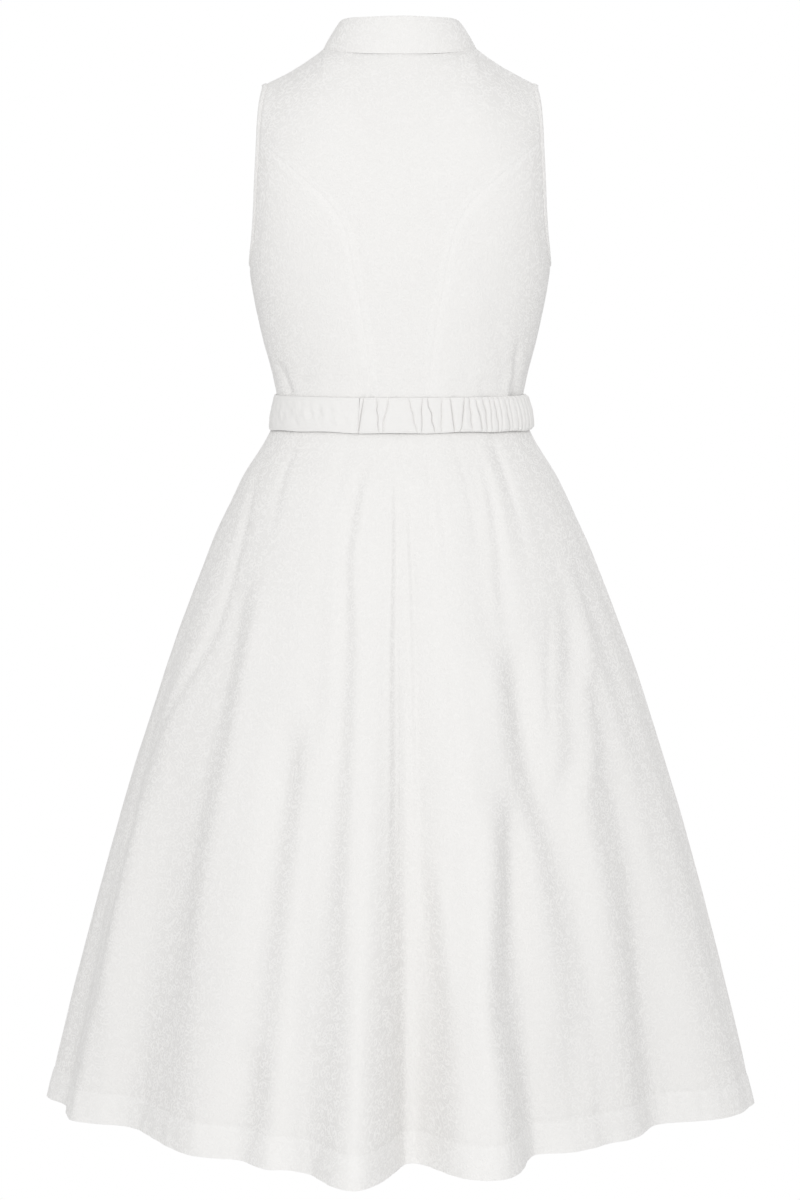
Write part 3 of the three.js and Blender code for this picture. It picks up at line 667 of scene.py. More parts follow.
def scroll_jacquard():
    """Small curled scrolls joined by tendrils, as a mask. The vector is in millimetres on the cloth."""
    nodes, given, made = shader_group(
        "Scroll jacquard",
        [
            ("Vector", "NodeSocketVector", None),
            ("Motif", "NodeSocketFloat", 10.0),
            ("Line", "NodeSocketFloat", 0.27),
        ],
        [("Mask", "NodeSocketFloat")],
    )
    flat = nodes.vector("SCALE", given.outputs["Vector"])
    nodes.put(flat.inputs["Scale"], nodes.math("DIVIDE", 1.0, given.outputs["Motif"]))
    bend = nodes.noise(flat.outputs[0], 1.3, 1.0)
    shift = nodes.vector("SUBTRACT", bend.outputs["Color"], (0.5, 0.5, 0.5))
    shifted = nodes.vector("MULTIPLY_ADD", shift.outputs[0], (0.35, 0.35, 0.0), flat.outputs[0])
    scatter = {"Vector": shifted.outputs[0], "Scale": 1.0, "Randomness": 0.75}
    cells = nodes.add("ShaderNodeTexVoronoi", scatter, voronoi_dimensions="2D")
    away = nodes.vector("SUBTRACT", shifted.outputs[0], cells.outputs["Position"])
    split = nodes.add("ShaderNodeSeparateXYZ", {0: away.outputs[0]})
    chance = nodes.add("ShaderNodeSeparateColor", {0: cells.outputs["Color"]})
    angle = nodes.math("DIVIDE", nodes.math("ARCTAN2", split.outputs[1], split.outputs[0]), 2 * math.pi)
    hand = nodes.math("MULTIPLY_ADD", nodes.math("GREATER_THAN", chance.outputs[0], 0.5), 2.0, -1.0)
    coil = nodes.math("MULTIPLY_ADD", angle, hand, nodes.math("MULTIPLY", cells.outputs["Distance"], 2.3))
    place = nodes.math("FRACT", nodes.math("ADD", coil, nodes.math("ADD", chance.outputs[1], 8.0)))
    near = nodes.math("ABSOLUTE", nodes.math("SUBTRACT", place, 0.5))
    spiral = nodes.add("ShaderNodeMapRange", {0: near, 1: given.outputs["Line"], 2: 0.1, 3: 0.0, 4: 1.0})
    inside = nodes.add("ShaderNodeMapRange", {0: cells.outputs["Distance"], 1: 0.5, 2: 0.42, 3: 0.0, 4: 1.0})
    curls = nodes.math("MULTIPLY", spiral.outputs[0], inside.outputs[0])
    field = nodes.noise(flat.outputs[0], 0.9, 0.5)
    ring = nodes.math("FRACT", nodes.math("MULTIPLY", field.outputs[0], 5.0))
    level = nodes.math("ABSOLUTE", nodes.math("SUBTRACT", ring, 0.5))
    tendril = nodes.add("ShaderNodeMapRange", {0: level, 1: 0.2, 2: 0.06, 3: 0.0, 4: 1.0})
    tendrils = nodes.math("MULTIPLY", tendril.outputs[0], 0.8)
    nodes.put(made.inputs["Mask"], nodes.math("MAXIMUM", curls, tendrils, clamp=True))
    return nodes.tree


def thread_weave():
    """The over and under of fine threads, as a height."""
    nodes, given, made = shader_group(
        "Thread weave",
        [("Vector", "NodeSocketVector", None), ("Thread", "NodeSocketFloat", 0.55)],
        [("Height", "NodeSocketFloat")],
    )
    turns = nodes.vector("SCALE", given.outputs["Vector"])
    nodes.put(turns.inputs["Scale"], nodes.math("DIVIDE", 2 * math.pi, given.outputs["Thread"]))
    split = nodes.add("ShaderNodeSeparateXYZ", {0: turns.outputs[0]})
    over = nodes.math("MULTIPLY", nodes.math("SINE", split.outputs[0]), nodes.math("SINE", split.outputs[1]))
    nodes.put(made.inputs["Height"], nodes.math("MULTIPLY_ADD", over, 0.5, 0.5))
    return nodes.tree


jacquard_group = scroll_jacquard()
weave_group = thread_weave()


def new_material(name, values):
    material = bpy.data.materials.new(name)
    material.use_nodes = True
    material.node_tree.nodes.clear()
    nodes = Nodes(material.node_tree)
    shader = nodes.add("ShaderNodeBsdfPrincipled", values)
    out = nodes.add("ShaderNodeOutputMaterial")
    nodes.put(out.inputs["Surface"], shader.outputs[0])
    return material, nodes, shader


def use_group(nodes, tree, values):
    node = nodes.tree.nodes.new("ShaderNodeGroup")
    node.node_tree = tree
    for key, value in values.items():
        nodes.put(node.inputs[key], value)
    return node


def mixed(nodes, factor, a, b):
    node = nodes.add("ShaderNodeMix", data_type="RGBA")
    nodes.put(node.inputs[0], factor)
    nodes.put(node.inputs[6], a)
    nodes.put(node.inputs[7], b)
    return node.outputs[2]


def cloth_material(name, plain, ground_with_painted_shade, figure_with_painted_sheen, figured):
    """White cotton. Its woven figure is painted a little lighter than its ground, most where the cloth turns
    away from the camera: painted sheen on the figure and painted shade on the ground.
    """
    material, nodes, shader = new_material(
        name, {"Specular IOR Level": 0.25, "Sheen Weight": 0.1, "Sheen Roughness": 0.45, "Roughness": 0.7}
    )
    cut = nodes.add("ShaderNodeUVMap", uv_map="cut").outputs[0]
    weave = use_group(nodes, weave_group, {"Vector": cut}).outputs[0]
    cloud = nodes.noise(cut, 0.02, 3.0).outputs[0]
    if figured:
        mask = use_group(nodes, jacquard_group, {"Vector": cut}).outputs[0]
    else:
        mask = nodes.math("MULTIPLY", weave, 0.3)
    # Painted sheen and shade: the more the cloth turns from the camera, the lighter its figure and the darker
    # its ground in the base colour.
    away = nodes.add("ShaderNodeLayerWeight", {"Blend": 0.5}).outputs["Facing"]
    shown = nodes.add("ShaderNodeMapRange", {0: away, 1: 0.05, 2: 0.45, 3: 0.12, 4: 1.0}).outputs[0]
    tone = mixed(nodes, shown, plain, mixed(nodes, mask, ground_with_painted_shade, figure_with_painted_sheen))
    tone = mixed(nodes, nodes.math("MULTIPLY", cloud, 0.06), tone, (0.84, 0.83, 0.81, 1))
    layers = nodes.add("ShaderNodeAttribute", attribute_name="doubled").outputs["Fac"]
    tone = mixed(nodes, nodes.math("MULTIPLY", layers, 0.22), tone, (0.95, 0.945, 0.935, 1))
    nodes.put(shader.inputs["Base Color"], tone)
    nodes.put(shader.inputs["Roughness"], nodes.math("MULTIPLY_ADD", mask, -0.2, 0.76))
    fine = nodes.add("ShaderNodeBump", {"Strength": 0.35, "Distance": 0.0002, "Height": weave})
    strength = 0.5 if figured else 0.0
    bump = nodes.add("ShaderNodeBump", {"Strength": strength, "Distance": 0.0003, "Height": mask})
    nodes.put(bump.inputs["Normal"], fine.outputs[0])
    nodes.put(shader.inputs["Normal"], bump.outputs[0])
    return material


# The ground and figure colours are those where the cloth turns from the camera: painted shade on the ground,
# painted sheen on the figure.
jacquard = cloth_material(
    "white_jacquard_cotton",
    plain=(0.862, 0.853, 0.84, 1),
    ground_with_painted_shade=(0.815, 0.806, 0.794, 1),
    figure_with_painted_sheen=(0.925, 0.916, 0.904, 1),
    figured=True,
)
sateen = cloth_material(
    "white_belt_sateen",
    plain=(0.85, 0.842, 0.83, 1),
    ground_with_painted_shade=(0.838, 0.83, 0.818, 1),
    figure_with_painted_sheen=(0.865, 0.857, 0.845, 1),
    figured=False,
)


def thread_material():
    material, nodes, shader = new_material("white_sewing_thread", {"Roughness": 0.5, "Sheen Weight": 0.1})
    place = nodes.add("ShaderNodeTexCoord").outputs["Object"]
    twist = nodes.add("ShaderNodeTexNoise", {"Vector": place, "Scale": 900.0, "Detail": 2.0}).outputs[0]
    tone = mixed(nodes, twist, (0.93, 0.925, 0.915, 1), (0.84, 0.835, 0.825, 1))
    nodes.put(shader.inputs["Base Color"], tone)
    bump = nodes.add("ShaderNodeBump", {"Strength": 0.3, "Distance": 0.0002, "Height": twist})
    nodes.put(shader.inputs["Normal"], bump.outputs[0])
    return material


def button_material():
    shine = {"Roughness": 0.3, "Coat Weight": 0.25, "Coat Roughness": 0.15}
    material, nodes, shader = new_material("milky_button", shine)
    place = nodes.add("ShaderNodeTexCoord").outputs["Object"]
    swirl = {"Vector": place, "Scale": 140.0, "Detail": 4.0, "Distortion": 1.5}
    cloud = nodes.add("ShaderNodeTexNoise", swirl).outputs[0]
    nodes.put(shader.inputs["Base Color"], mixed(nodes, cloud, (0.9, 0.885, 0.86, 1), (0.82, 0.8, 0.77, 1)))
    nodes.put(shader.inputs["Roughness"], nodes.math("MULTIPLY_ADD", cloud, 0.2, 0.2))
    return material


thread = thread_material()
milky = button_material()

# Bodice


def bodice_grid(turn, rise, front):
    """Points of the bodice on a grid of places, with the soft unevenness of worn cloth."""
    points = bodice_point(turn, rise, front)
    step = 0.4
    along = bodice_point(turn + step, rise, front) - bodice_point(turn - step, rise, front)
    above = bodice_point(turn, np.minimum(rise + 0.004, 2), front)
    up = above - bodice_point(turn, np.maximum(rise - 0.004, 0), front)
    normals = np.cross(up, along)
    normals /= np.maximum(np.linalg.norm(normals, axis=-1, keepdims=True), 1e-9)
    outward = np.stack([points[..., 0], points[..., 1], np.zeros_like(points[..., 0])], -1)
    if np.mean(np.sum(normals * outward, -1)) < 0:
        normals = -normals
    side = np.abs(np.abs(turn) - 90) < 0.02
    normals[..., 1] = np.where(side, 0, normals[..., 1])
    normals /= np.maximum(np.linalg.norm(normals, axis=-1, keepdims=True), 1e-9)
    return points, normals


def crease_relief(points, creases):
    """Straight soft creases on the back of the bodice, which grow from nothing at their first end."""
    total = np.zeros(points.shape[:-1])
    for start, end, width, height in creases:
        start, way = np.array(start, float), np.subtract(end, start).astype(float)
        off = points[..., [0, 2]] - start
        along = np.clip(off @ way / (way @ way), 0, 1)
        away = np.linalg.norm(off - along[..., None] * way, axis=-1) / width
        total += height * smooth(-0.05, 0.4, along) * np.exp(-(away**2))
    return np.where(points[..., 1] > 0, total, 0)


def bodice_relief(points, edge):
    """How far the cloth stands off its form: soft waves, seam allowances and creases at the waist."""
    soft = 0.6 * waves(points, 95, 3) + 0.25 * waves(points, 34, 4)
    pucker = 0.3 * waves(points * (0.4, 0.4, 1.0), 17, 5) * np.exp(-((edge / 9) ** 2))
    drag = 0.9 * waves(points * (1.0, 1.0, 0.2), 30, 6) * smooth(-290, -335, points[..., 2])
    relief = soft + pucker + drag + 0.35 * smooth(allowance_outer, allowance_inner, edge)
    under_belt = smooth(-337, -348, points[..., 2])
    under_placket = np.where(points[..., 1] < 0, smooth(22, 13, np.abs(points[..., 0])), 0)
    return lerp(relief, 0.2, np.maximum(under_belt, under_placket)) + crease_relief(points, bodice_creases)


def bodice_panel(name, turn, rise, front, seam_row=None):
    """A panel whose cloth lies level with its neighbour at each seam and flat at its free borders."""
    points, normals = bodice_grid(turn, rise, front)
    beside = edge_distance(points, ("start", "end"))
    free = edge_distance(points, ("top", "bottom"))
    if seam_row:
        up = run_lengths(points, 0)
        free = np.minimum(free, np.hypot(beside, np.maximum(up[seam_row] - up, 0)))
    relief = bodice_relief(points, np.minimum(beside, free)) * smooth(0, 4, free)
    points = points + normals * relief[..., None]
    doubled = 0.5 * smooth(allowance_outer, allowance_inner, beside)
    return cloth_panel(name, points, normals, all_borders, roll=0.4, marks={"doubled": doubled})


def make_back():
    edge_turn, edge_rise = centre_edge(False)
    half_turns = centre_turns(edge_turn, edge_rise, top_turns(False, back_columns))
    turns = np.concatenate([-half_turns[:, :0:-1], half_turns], 1)
    rises = np.broadcast_to(edge_rise[:, None], turns.shape)
    return bodice_panel("back_panel", turns, rises, False, princess_rows)


def make_front(word, side):
    """A front from the centre line to the princess seam. Its first columns lie under the placket."""
    edge_turn, edge_rise = centre_edge(True)
    placket_turn = turn_at_width(section_at_rise(edge_rise, True), placket_half)
    spread = centre_turns(edge_turn, edge_rise, top_turns(True, front_columns))
    columns = spread.shape[1]
    gap = placket_turn[:, None] * (1 - np.arange(columns) / (columns - 1))[None, :]
    strip = placket_turn[:, None] * (np.arange(strip_columns) / strip_columns)[None, :]
    turns = 180 - np.concatenate([strip, spread + gap], 1)
    rises = np.broadcast_to(edge_rise[:, None], turns.shape)
    return bodice_panel(f"front_panel_{word}", side * turns, rises, True, princess_rows)


def make_side(word, side, front, place):
    turn, rise = side_places(front)
    turn = side * (180 - turn if front else turn)
    return bodice_panel(f"side_{place}_panel_{word}", turn, rise, front)


bodice_pieces = {"back_centre": make_back()}
for word, side in both_sides:
    bodice_pieces[f"front_{word}"] = make_front(word, side)
    for front, place in back_and_front:
        bodice_pieces[f"side_{place}_{word}"] = make_side(word, side, front, place)

# Placket, collar and armhole bindings


def evenly_doubled(points, share):
    """The mark of cloth that is doubled all over."""
    return {"doubled": np.full(points.shape[:2], share)}


def make_placket():
    """The strip down the centre front, stitched along both long edges."""
    rises = np.linspace(0, 2, placket_rows)
    half_turn = turn_at_width(section_at_rise(rises, True), placket_half - 0.2)
    across = np.linspace(-1, 1, placket_columns)[None, :]
    turns = across * half_turn[:, None]
    points, normals = bodice_grid(180 - turns, np.broadcast_to(rises[:, None], turns.shape), True)
    away = np.abs(across) * placket_half
    quilt = 0.25 * waves(points * (0.5, 0.5, 1), 14, 8) * smooth(4, 10, away)
    stitched = -0.25 * np.exp(-(((away - placket_stitch) / 0.9) ** 2))
    points = points + normals * (placket_lift + quilt + stitched)[..., None]
    marks = evenly_doubled(points, 0.6)
    return cloth_panel("button_placket", points, normals, all_borders, placket_wall, roll=0.5, marks=marks)


placket = make_placket()


def neckline(count):
    """The neckline from the right centre front round the back to the left, evenly spaced."""
    front_x = neck_half * np.sin(np.linspace(0, np.pi / 2, 100))
    right_front = bodice_point(turn_at_width(section_at_rise(2.0, True), front_x) - 180, 2.0, True)
    back_x = neck_half * np.sin(np.linspace(np.pi / 2, -np.pi / 2, 200))
    section = section_at_rise(2.0, False)
    back_part = bodice_point(-np.sign(back_x) * turn_at_width(section, np.abs(back_x)), 2.0, False)
    left_front = right_front[::-1] * (-1, 1, 1)
    line = np.concatenate([right_front, back_part[1:-1], left_front])
    return evenly_along(line, count)


def make_collar():
    """A stand collar that leans in as it rises from the neckline, and is highest behind."""
    base = neckline(collar_columns)
    across = np.abs(base[:, 0]) / neck_half
    behind = np.clip(base[:, 1] / back_neck_depth, 0, None)
    ahead = np.clip(-base[:, 1] / front_neck_depth, 0, None)
    top = base + np.stack([
        -np.sign(base[:, 0]) * collar_side_lean * across,
        -collar_back_lean * behind + collar_front_lean * ahead,
        lerp(collar_side_height, collar_back_height, behind**collar_height_bend),
    ], -1)
    up = np.linspace(0, 1, collar_rows)[:, None, None]
    points = lerp(base[None], top[None], up)
    outward = np.stack([points[..., 0], points[..., 1], np.zeros(points.shape[:2])], -1)
    normals = grid_normals(points, outward)
    height = run_lengths(points, 0)
    below = height[-1:] - height
    relief = 0.4 * waves(points, 60, 11) - 0.3 * np.exp(-(((below - collar_stitch) / 0.8) ** 2))
    relief += 0.25 * waves(points * (1, 1, 0.3), 15, 12) * np.exp(-((height / 8) ** 2))
    relief += 0.8 * np.sin(np.pi * up[..., 0])
    points = points + normals * (relief * smooth(0, 5, height))[..., None]
    points[:, 0, 0] -= seam_gap
    points[:, -1, 0] += seam_gap
    marks = evenly_doubled(points, 0.3)
    borders = ("start", "end", "top")
    return cloth_panel("stand_collar", points, normals, borders, collar_wall, roll=0.7, marks=marks)


collar = make_collar()


def make_binding(word, side):
    """The narrow bound edge round an armhole."""
    name = f"armhole_edge_{word}"
    step = np.arange(binding_columns) / binding_columns
    back = np.concatenate([back_meeting * step, lerp(back_meeting, 1, step)])
    front = np.concatenate([lerp(1, front_meeting, step), front_meeting * (1 - step)])
    rows = []
    for inset in np.linspace(binding_width, 0, binding_rows):
        turn, rise = armhole_place(back, False, inset)
        behind = bodice_grid(side * turn[None], rise[None], False)
        turn, rise = armhole_place(front, True, inset)
        ahead = bodice_grid(side * (180 - turn[None]), rise[None], True)
        rows.append([np.concatenate([a[0], b[0]]) for a, b in zip(behind, ahead)])
    points, normals = (np.stack(grid) for grid in zip(*rows))
    share = np.linspace(0, 1, binding_rows)[:, None]
    round_edge = 0.75 * np.sin(np.pi * np.clip(share * 1.05, 0, 1)) ** 0.7
    stitched = 0.5 * np.exp(-(((share - 0.12) / 0.1) ** 2))
    crown = 0.4 + round_edge - stitched + 0.12 * waves(points, 9, 21)
    points = points + normals * crown[..., None]
    laid[name] = (points, normals)
    inner = points - normals * binding_wall
    return wall(name, points, inner, jacquard, evenly_doubled(points, 0.7), loop=True)


bindings = {word: make_binding(word, side) for word, side in both_sides}

# Skirt


def fold_push(turn, share):
    """How far the main folds move the skirt out."""
    push = np.zeros(np.broadcast(turn, share).shape)
    for at, reach, most, late in skirt_folds:
        away = np.abs((turn - at + 180) % 360 - 180)
        crest = np.cos(np.pi / 2 * np.minimum(away / reach, 1)) ** 2
        push += np.where(away < reach, most * share**late * crest, 0)
    return push


def down_the_skirt(turn, share, width, path):
    """How far a place is from a line down the skirt, in half widths, and how strong the line is there."""
    table = np.array(path)
    first, last = table[0, 0], table[-1, 0]
    half, back, _, _ = section_at(skirt_sections, lerp(waist_z, hem_z, share))
    line = smooth_column(table, 1, np.clip(share, first, last))
    away = (turn - line + 180) % 360 - 180
    away = away * (half + back) / 2 * np.pi / 180 / (width * (0.4 + 0.6 * share))
    length = last - first
    strength = smooth(first, first + min(0.35 * length, 0.1), share)
    if last < 0.99:
        strength = strength * (1 - smooth(last - min(0.35 * length, 0.2), last, share))
    return away, strength


def crease_push(turn, share):
    """How far the creases and the sides of folds move the skirt out."""
    push = np.zeros(np.broadcast(turn, share).shape)
    for height, width, path in skirt_creases:
        away, strength = down_the_skirt(turn, share, width, path)
        push += height * strength * np.exp(-(away**2))
    for height, width, path in skirt_steps:
        away, strength = down_the_skirt(turn, share, width, path)
        push += height * strength * 1.65 * away * np.exp(-(away**2) / 2)
    return push


def skirt_point(turn, share):
    """A point of the skirt and its outward direction. A share of 0 is the waist seam and 1 the hem."""
    turn, share = np.broadcast_arrays(np.asarray(turn, float), np.asarray(share, float))
    z = lerp(waist_z - seam_gap, hem_z, share)
    section = section_at(skirt_sections, z)
    half, back, front, square = section
    x, y = section_point(section, turn)
    depth = np.where(np.cos(np.radians(turn)) >= 0, back, front)
    out = np.stack([power(x / half, square - 1) / half, power(y / depth, square - 1) / depth], -1)
    out /= np.linalg.norm(out, axis=-1, keepdims=True)
    push = (fold_push(turn, share) + crease_push(turn, share))[..., None]
    point = np.concatenate([np.stack([x, y], -1) + out * push, z[..., None]], -1)
    return point, np.concatenate([out, 0 * z[..., None]], -1)


def skirt_panel(name, side, front):
    """A quarter of the skirt, with its hem turned up inside."""
    hem_share = 1 - hem_depth / (waist_z - hem_z)
    above = np.linspace(0, hem_share - 0.0035, skirt_rows)
    shares = np.concatenate([above, np.linspace(hem_share - 0.0015, 1, hem_rows)])[::-1]
    spread = 90 * np.linspace(0, 1, skirt_columns) ** 1.25
    turn = side * (180 - spread if front else spread)
    points, outward = skirt_point(turn[None, :], shares[:, None])
    below = hem_depth - (points[..., 2] - hem_z)
    banded = smooth(-0.6, 0.6, below)
    soft = 0.8 * waves(points, 120, 31) + 0.35 * waves(points * (1, 1, 0.6), 46, 32)
    near_hem = np.exp(-(((points[..., 2] - hem_z - 0.6 * hem_depth) / 30) ** 2))
    drags = 1.1 * waves(points * (1, 1, 0.35), 26, 33) + 0.9 * waves(points * (1, 1, 0.2), 12, 34)
    line = -0.5 * np.exp(-((below / 1.6) ** 2))
    normals = grid_normals(points, outward)
    points = points + normals * (soft + drags * near_hem + 0.7 * banded + line)[..., None]
    points[0, :, 2] = hem_z
    thickness = lerp(cloth_wall, hem_wall, banded)
    return cloth_panel(name, points, outward, ("start", "end"), thickness, marks={"doubled": banded})


skirt_pieces = {}
for word, side in both_sides:
    for front, place in back_and_front:
        skirt_pieces[f"skirt_{place}_{word}"] = skirt_panel(f"skirt_{place}_panel_{word}", side, front)

# Belt

# Grooves of the gathered stretch from its left end round the back: turn at the upper edge, turn at the lower
# edge, and depth
gathers = [
    (17.0, 17.2, 2.4), (15.2, 17.0, 1.2), (9.6, 8.2, 1.4), (4.4, 6.9, 1.0), (-3.2, -6.6, 1.5),
    (-8.9, -8.4, 0.9), (-11.0, -14.0, 1.6), (-17.6, -16.8, 0.7), (-21.6, -22.6, 2.0), (-28.8, -25.6, 2.2),
    (-31.0, -31.6, 1.3), (-34.4, -37.0, 2.6), (-39.0, -39.6, 1.8), (-42.2, -42.0, 3.0), (-45.2, -46.4, 2.6),
    (-48.8, -48.0, 3.4), (-52.6, -54.2, 3.2), (-56.4, -56.0, 3.0), (-60.4, -61.6, 3.8), (-65.0, -65.4, 3.2),
    (-69.4, -68.6, 4.0), (-74.0, -75.4, 3.6), (-79.0, -78.0, 4.0), (-84.4, -85.0, 3.6), (-89.0, -90.0, 3.8),
    (-94.4, -94.0, 3.2), (-98.6, -98.8, 2.4),
]


def belt_point(turn, share, out):
    """A point off the inside of the belt, from its lower edge at share 0 to its upper edge at share 1."""
    high = section_at(bodice_sections, float(belt_top_z))
    low = section_at(skirt_sections, float(belt_bottom_z))
    section = [lerp(b, a, share) for a, b in zip(high, low)]
    x, y = section_point(section, turn, lerp(1.6, 0.6, share) + out)
    ripple = 0.45 * (np.sin(turn * 0.21 + 1) + np.sin(turn * 0.087 - 2)) * (1 - smooth(0, 0.25, share))
    return np.stack(np.broadcast_arrays(x, y, lerp(belt_bottom_z, belt_top_z, share) + ripple), -1)


def belt_lift(turn, over):
    """How far a belt end stands off to pass over the placket, and over the other end."""
    away = np.abs(turn)
    nearer = np.where(turn > 0, np.minimum(turn, 180), away)
    over_placket = (1.6 + 2 * seam_gap) * smooth(166, 173, nearer)
    return over_placket + ((belt_wall + seam_gap) * smooth(150, 165, away) if over else 0)


# Millimetres of belt to each degree of turn, roughly
belt_span = 2.4
belt_depth = belt_top_z - belt_bottom_z

# Rows of stitches along the belt, as shares of its depth from its lower edge
belt_stitches = (0.06, 0.94)
gather_stitches = (0.08, 0.92)


def belt_place(turns, share):
    """Rough places on the flat belt in millimetres, for its creases."""
    return np.stack(np.broadcast_arrays(turns * belt_span, share * belt_depth), -1)


def belt_piece(name, turns, out, inside):
    """A stretch of belt between two distances off the dress."""
    share = np.linspace(0, 1, out.shape[0])[:, None]
    outer = belt_point(turns, share, out)
    inner = belt_point(turns, share, inside)
    normals = outer - inner
    laid[name] = (outer, normals / np.linalg.norm(normals, axis=-1, keepdims=True))
    return wall(name, outer, inner, sateen)


def gathered_belt():
    """Elastic draws the cloth into upright puffs with sharp grooves between, deepest at the right side."""
    first, last = gather_left_turn - 0.05, gather_right_turn + 0.05
    grooves = np.array([(first, first, 2.0), *gathers[1:], (last, last, 2.0)])
    which = np.linspace(0, len(grooves) - 1, gather_columns * (len(grooves) - 1) + 1)[None, :]
    share = np.linspace(0, 1, gather_rows)[:, None]
    upper, lower, deep = (np.interp(which, np.arange(len(grooves)), column) for column in grooves.T)
    turns = lerp(lower, upper, share)
    place = belt_place(turns, share)
    between = np.abs(2 * (which % 1) - 1)
    inwards = np.minimum(smooth(first, first - 4, turns), smooth(last, last + 4, turns))
    turns = turns + 0.5 * waves(place, 16, 40) * inwards
    puff = (0.9 + 1.35 * deep) * np.sqrt(1 - between**3) + 0.35 * waves(place, 11, 41) * (1 - between)
    rim = 1 - 0.45 * (1 - smooth(0, 0.07, share)) - 0.45 * (1 - smooth(0, 0.07, 1 - share))
    arch = 0.55 + 0.45 * np.sin(np.pi * lerp(0.08, 0.92, share))
    return belt_piece("gathered_belt", turns, np.maximum(0.7 + puff * arch * rim, 0.5), 0 * turns)


def flat_belt(name, from_turn, to_turn, over):
    """A plain end of the belt, a little crumpled between its two rows of stitches."""
    turns = np.linspace(from_turn, to_turn, belt_columns)[None, :]
    share = np.linspace(0, 1, belt_rows)[:, None]
    lift = belt_lift(turns, over)
    rim = -0.6 * (1 - smooth(0, 0.06, share)) - 0.6 * (1 - smooth(0, 0.06, 1 - share))
    rim = rim - 0.8 * (1 - smooth(0, 0.4, share))
    stitched = -0.3 * sum(np.exp(-(((share - row) / 0.02) ** 2)) for row in belt_stitches)
    place = belt_place(turns, share)
    crumple = 0.9 * waves(place, 40, 43) + 0.9 * waves(place, 15, 44) + 0.35 * waves(place, 7, 45)
    out = belt_wall + lift + rim + stitched + crumple * np.sin(np.pi * share)
    return belt_piece(name, turns, out, lift + 0 * share)


overlap_turn = turn_at_width(section_at(bodice_sections, float(belt_top_z)), belt_overlap)
belt_pieces = {
    "belt_gathered": gathered_belt(),
    "belt_left": flat_belt("left_belt_end", gather_left_turn + 0.05, 180 + overlap_turn, False),
    "belt_right": flat_belt("right_belt_end", gather_right_turn - 0.05, -180 - overlap_turn, True),
}

# Buttons

# Section of a button from the middle of its face out round the rim to the middle of its back, in radii
button_profile = [
    (0.0, 0.32), (0.2, 0.32), (0.4, 0.32), (0.55, 0.33), (0.66, 0.36), (0.74, 0.41), (0.82, 0.455),
    (0.9, 0.45), (0.96, 0.4), (1.0, 0.3), (0.99, 0.18), (0.9, 0.06), (0.7, 0.0), (0.35, 0.0), (0.0, 0.0),
]
button_hole_at = 0.2


def button_prototype():
    """One four-hole button, 1 unit in radius, facing up: a flat back, a round rim and a dished face."""
    rings = np.array(button_profile)
    fine = [rings[0]]
    for a, b in zip(rings[:-1], rings[1:]):
        for t in ((0.5, 1.0) if a[0] < 0.6 and a[1] > 0.3 else (1.0,)):
            fine.append(lerp(a, b, t))
    rings = np.array(fine)[1:-1]
    count = 40
    angle = 2 * np.pi * np.arange(count) / count
    x = rings[:, :1] * np.cos(angle)
    y = rings[:, :1] * np.sin(angle)
    z = np.broadcast_to(rings[:, 1:], x.shape).copy()
    for hole_x in (-button_hole_at, button_hole_at):
        for hole_y in (-button_hole_at, button_hole_at):
            away = np.hypot(x - hole_x, y - hole_y)
            z = np.where(z > 0.2, z - 0.2 * (1 - smooth(0.05, 0.14, away)), z)
    index = np.arange(x.size).reshape(x.shape)
    ahead = np.roll(index, -1, axis=1)
    faces = np.stack([index[:-1], index[1:], ahead[1:], ahead[:-1]], -1).reshape(-1, 4).tolist()
    vertices = np.stack([x, y, z], -1).reshape(-1, 3).tolist()
    vertices += [[0, 0, button_profile[0][1]], [0, 0, button_profile[-1][1]]]
    for k in range(count):
        faces.append([x.size, index[0, k], ahead[0, k]])
        faces.append([x.size + 1, ahead[-1, k], index[-1, k]])
    mesh = bpy.data.meshes.new("button_prototype")
    mesh.from_pydata(vertices, [], faces)
    mesh.polygons.foreach_set("use_smooth", [True] * len(mesh.polygons))
    return mesh


def place_button(name, radius, place, normal):
    """Puts a button on the cloth. Its holding threads' middles, way and upward side come back with it."""
    mesh = button_prototype()
    turned = np.array(Vector((0, 0, 1)).rotation_difference(Vector(normal)).to_matrix())
    points = np.empty(len(mesh.vertices) * 3)
    mesh.vertices.foreach_get("co", points)
    mesh.vertices.foreach_set("co", ((points.reshape(-1, 3) * radius @ turned.T + place) * MM).ravel())
    mesh.name = name
    mesh.materials.append(milky)
    piece = bpy.data.objects.new(name, mesh)
    bpy.context.scene.collection.objects.link(piece)
    rows = [side * button_hole_at + off for side in (-1, 1) for off in (-0.035, 0.035)]
    threads = np.array([(0, row, 0.3) for row in rows]) * radius
    return piece, threads @ turned.T + place, turned[:, 0], turned[:, 2]


def middle_front(z):
    """The place and outward direction of the placket's middle at a level."""
    point, normal = bodice_grid(np.array([[180.0]]), np.array([[float(rise_at(0.0, z, True))]]), True)
    normal = normal[0, 0] * (0, 1, 1)
    return point[0, 0], normal / np.linalg.norm(normal)


button_pieces = {}
holding_threads = []
hole_stitches = []


def sew_button(node, name, radius, place, normal, reach):
    """Sews a button on, and notes the threads that hold it."""
    piece, middles, way, up = place_button(name, radius, place, normal)
    button_pieces[node] = piece
    holding_threads.extend((middle, way, up, reach) for middle in middles)


def sew_buttonhole(z, highest):
    """Short stitches down both lips of an upright buttonhole."""
    across = np.array([1.0, 0, 0])
    for rise in np.arange(-buttonhole_below, buttonhole_above, buttonhole_pitch):
        point, normal = middle_front(min(z + rise, highest))
        for side in (-1, 1):
            place = point + normal * (placket_lift + 0.1) + across * buttonhole_lip * side
            hole_stitches.append((place, across, normal, 1.3))


def belt_front():
    """The place and outward direction of the middle of the belt's upper end, at the centre front."""
    turn = np.array(180.0)
    middle = belt_point(turn, np.array(0.5), belt_lift(turn, True) + belt_wall + 0.3)
    up = belt_point(turn, np.array(1.0), 0.0) - belt_point(turn, np.array(0.0), 0.0)
    normal = np.cross(up, (1.0, 0, 0))
    return middle, -normal * np.sign(normal[1]) / np.linalg.norm(normal)


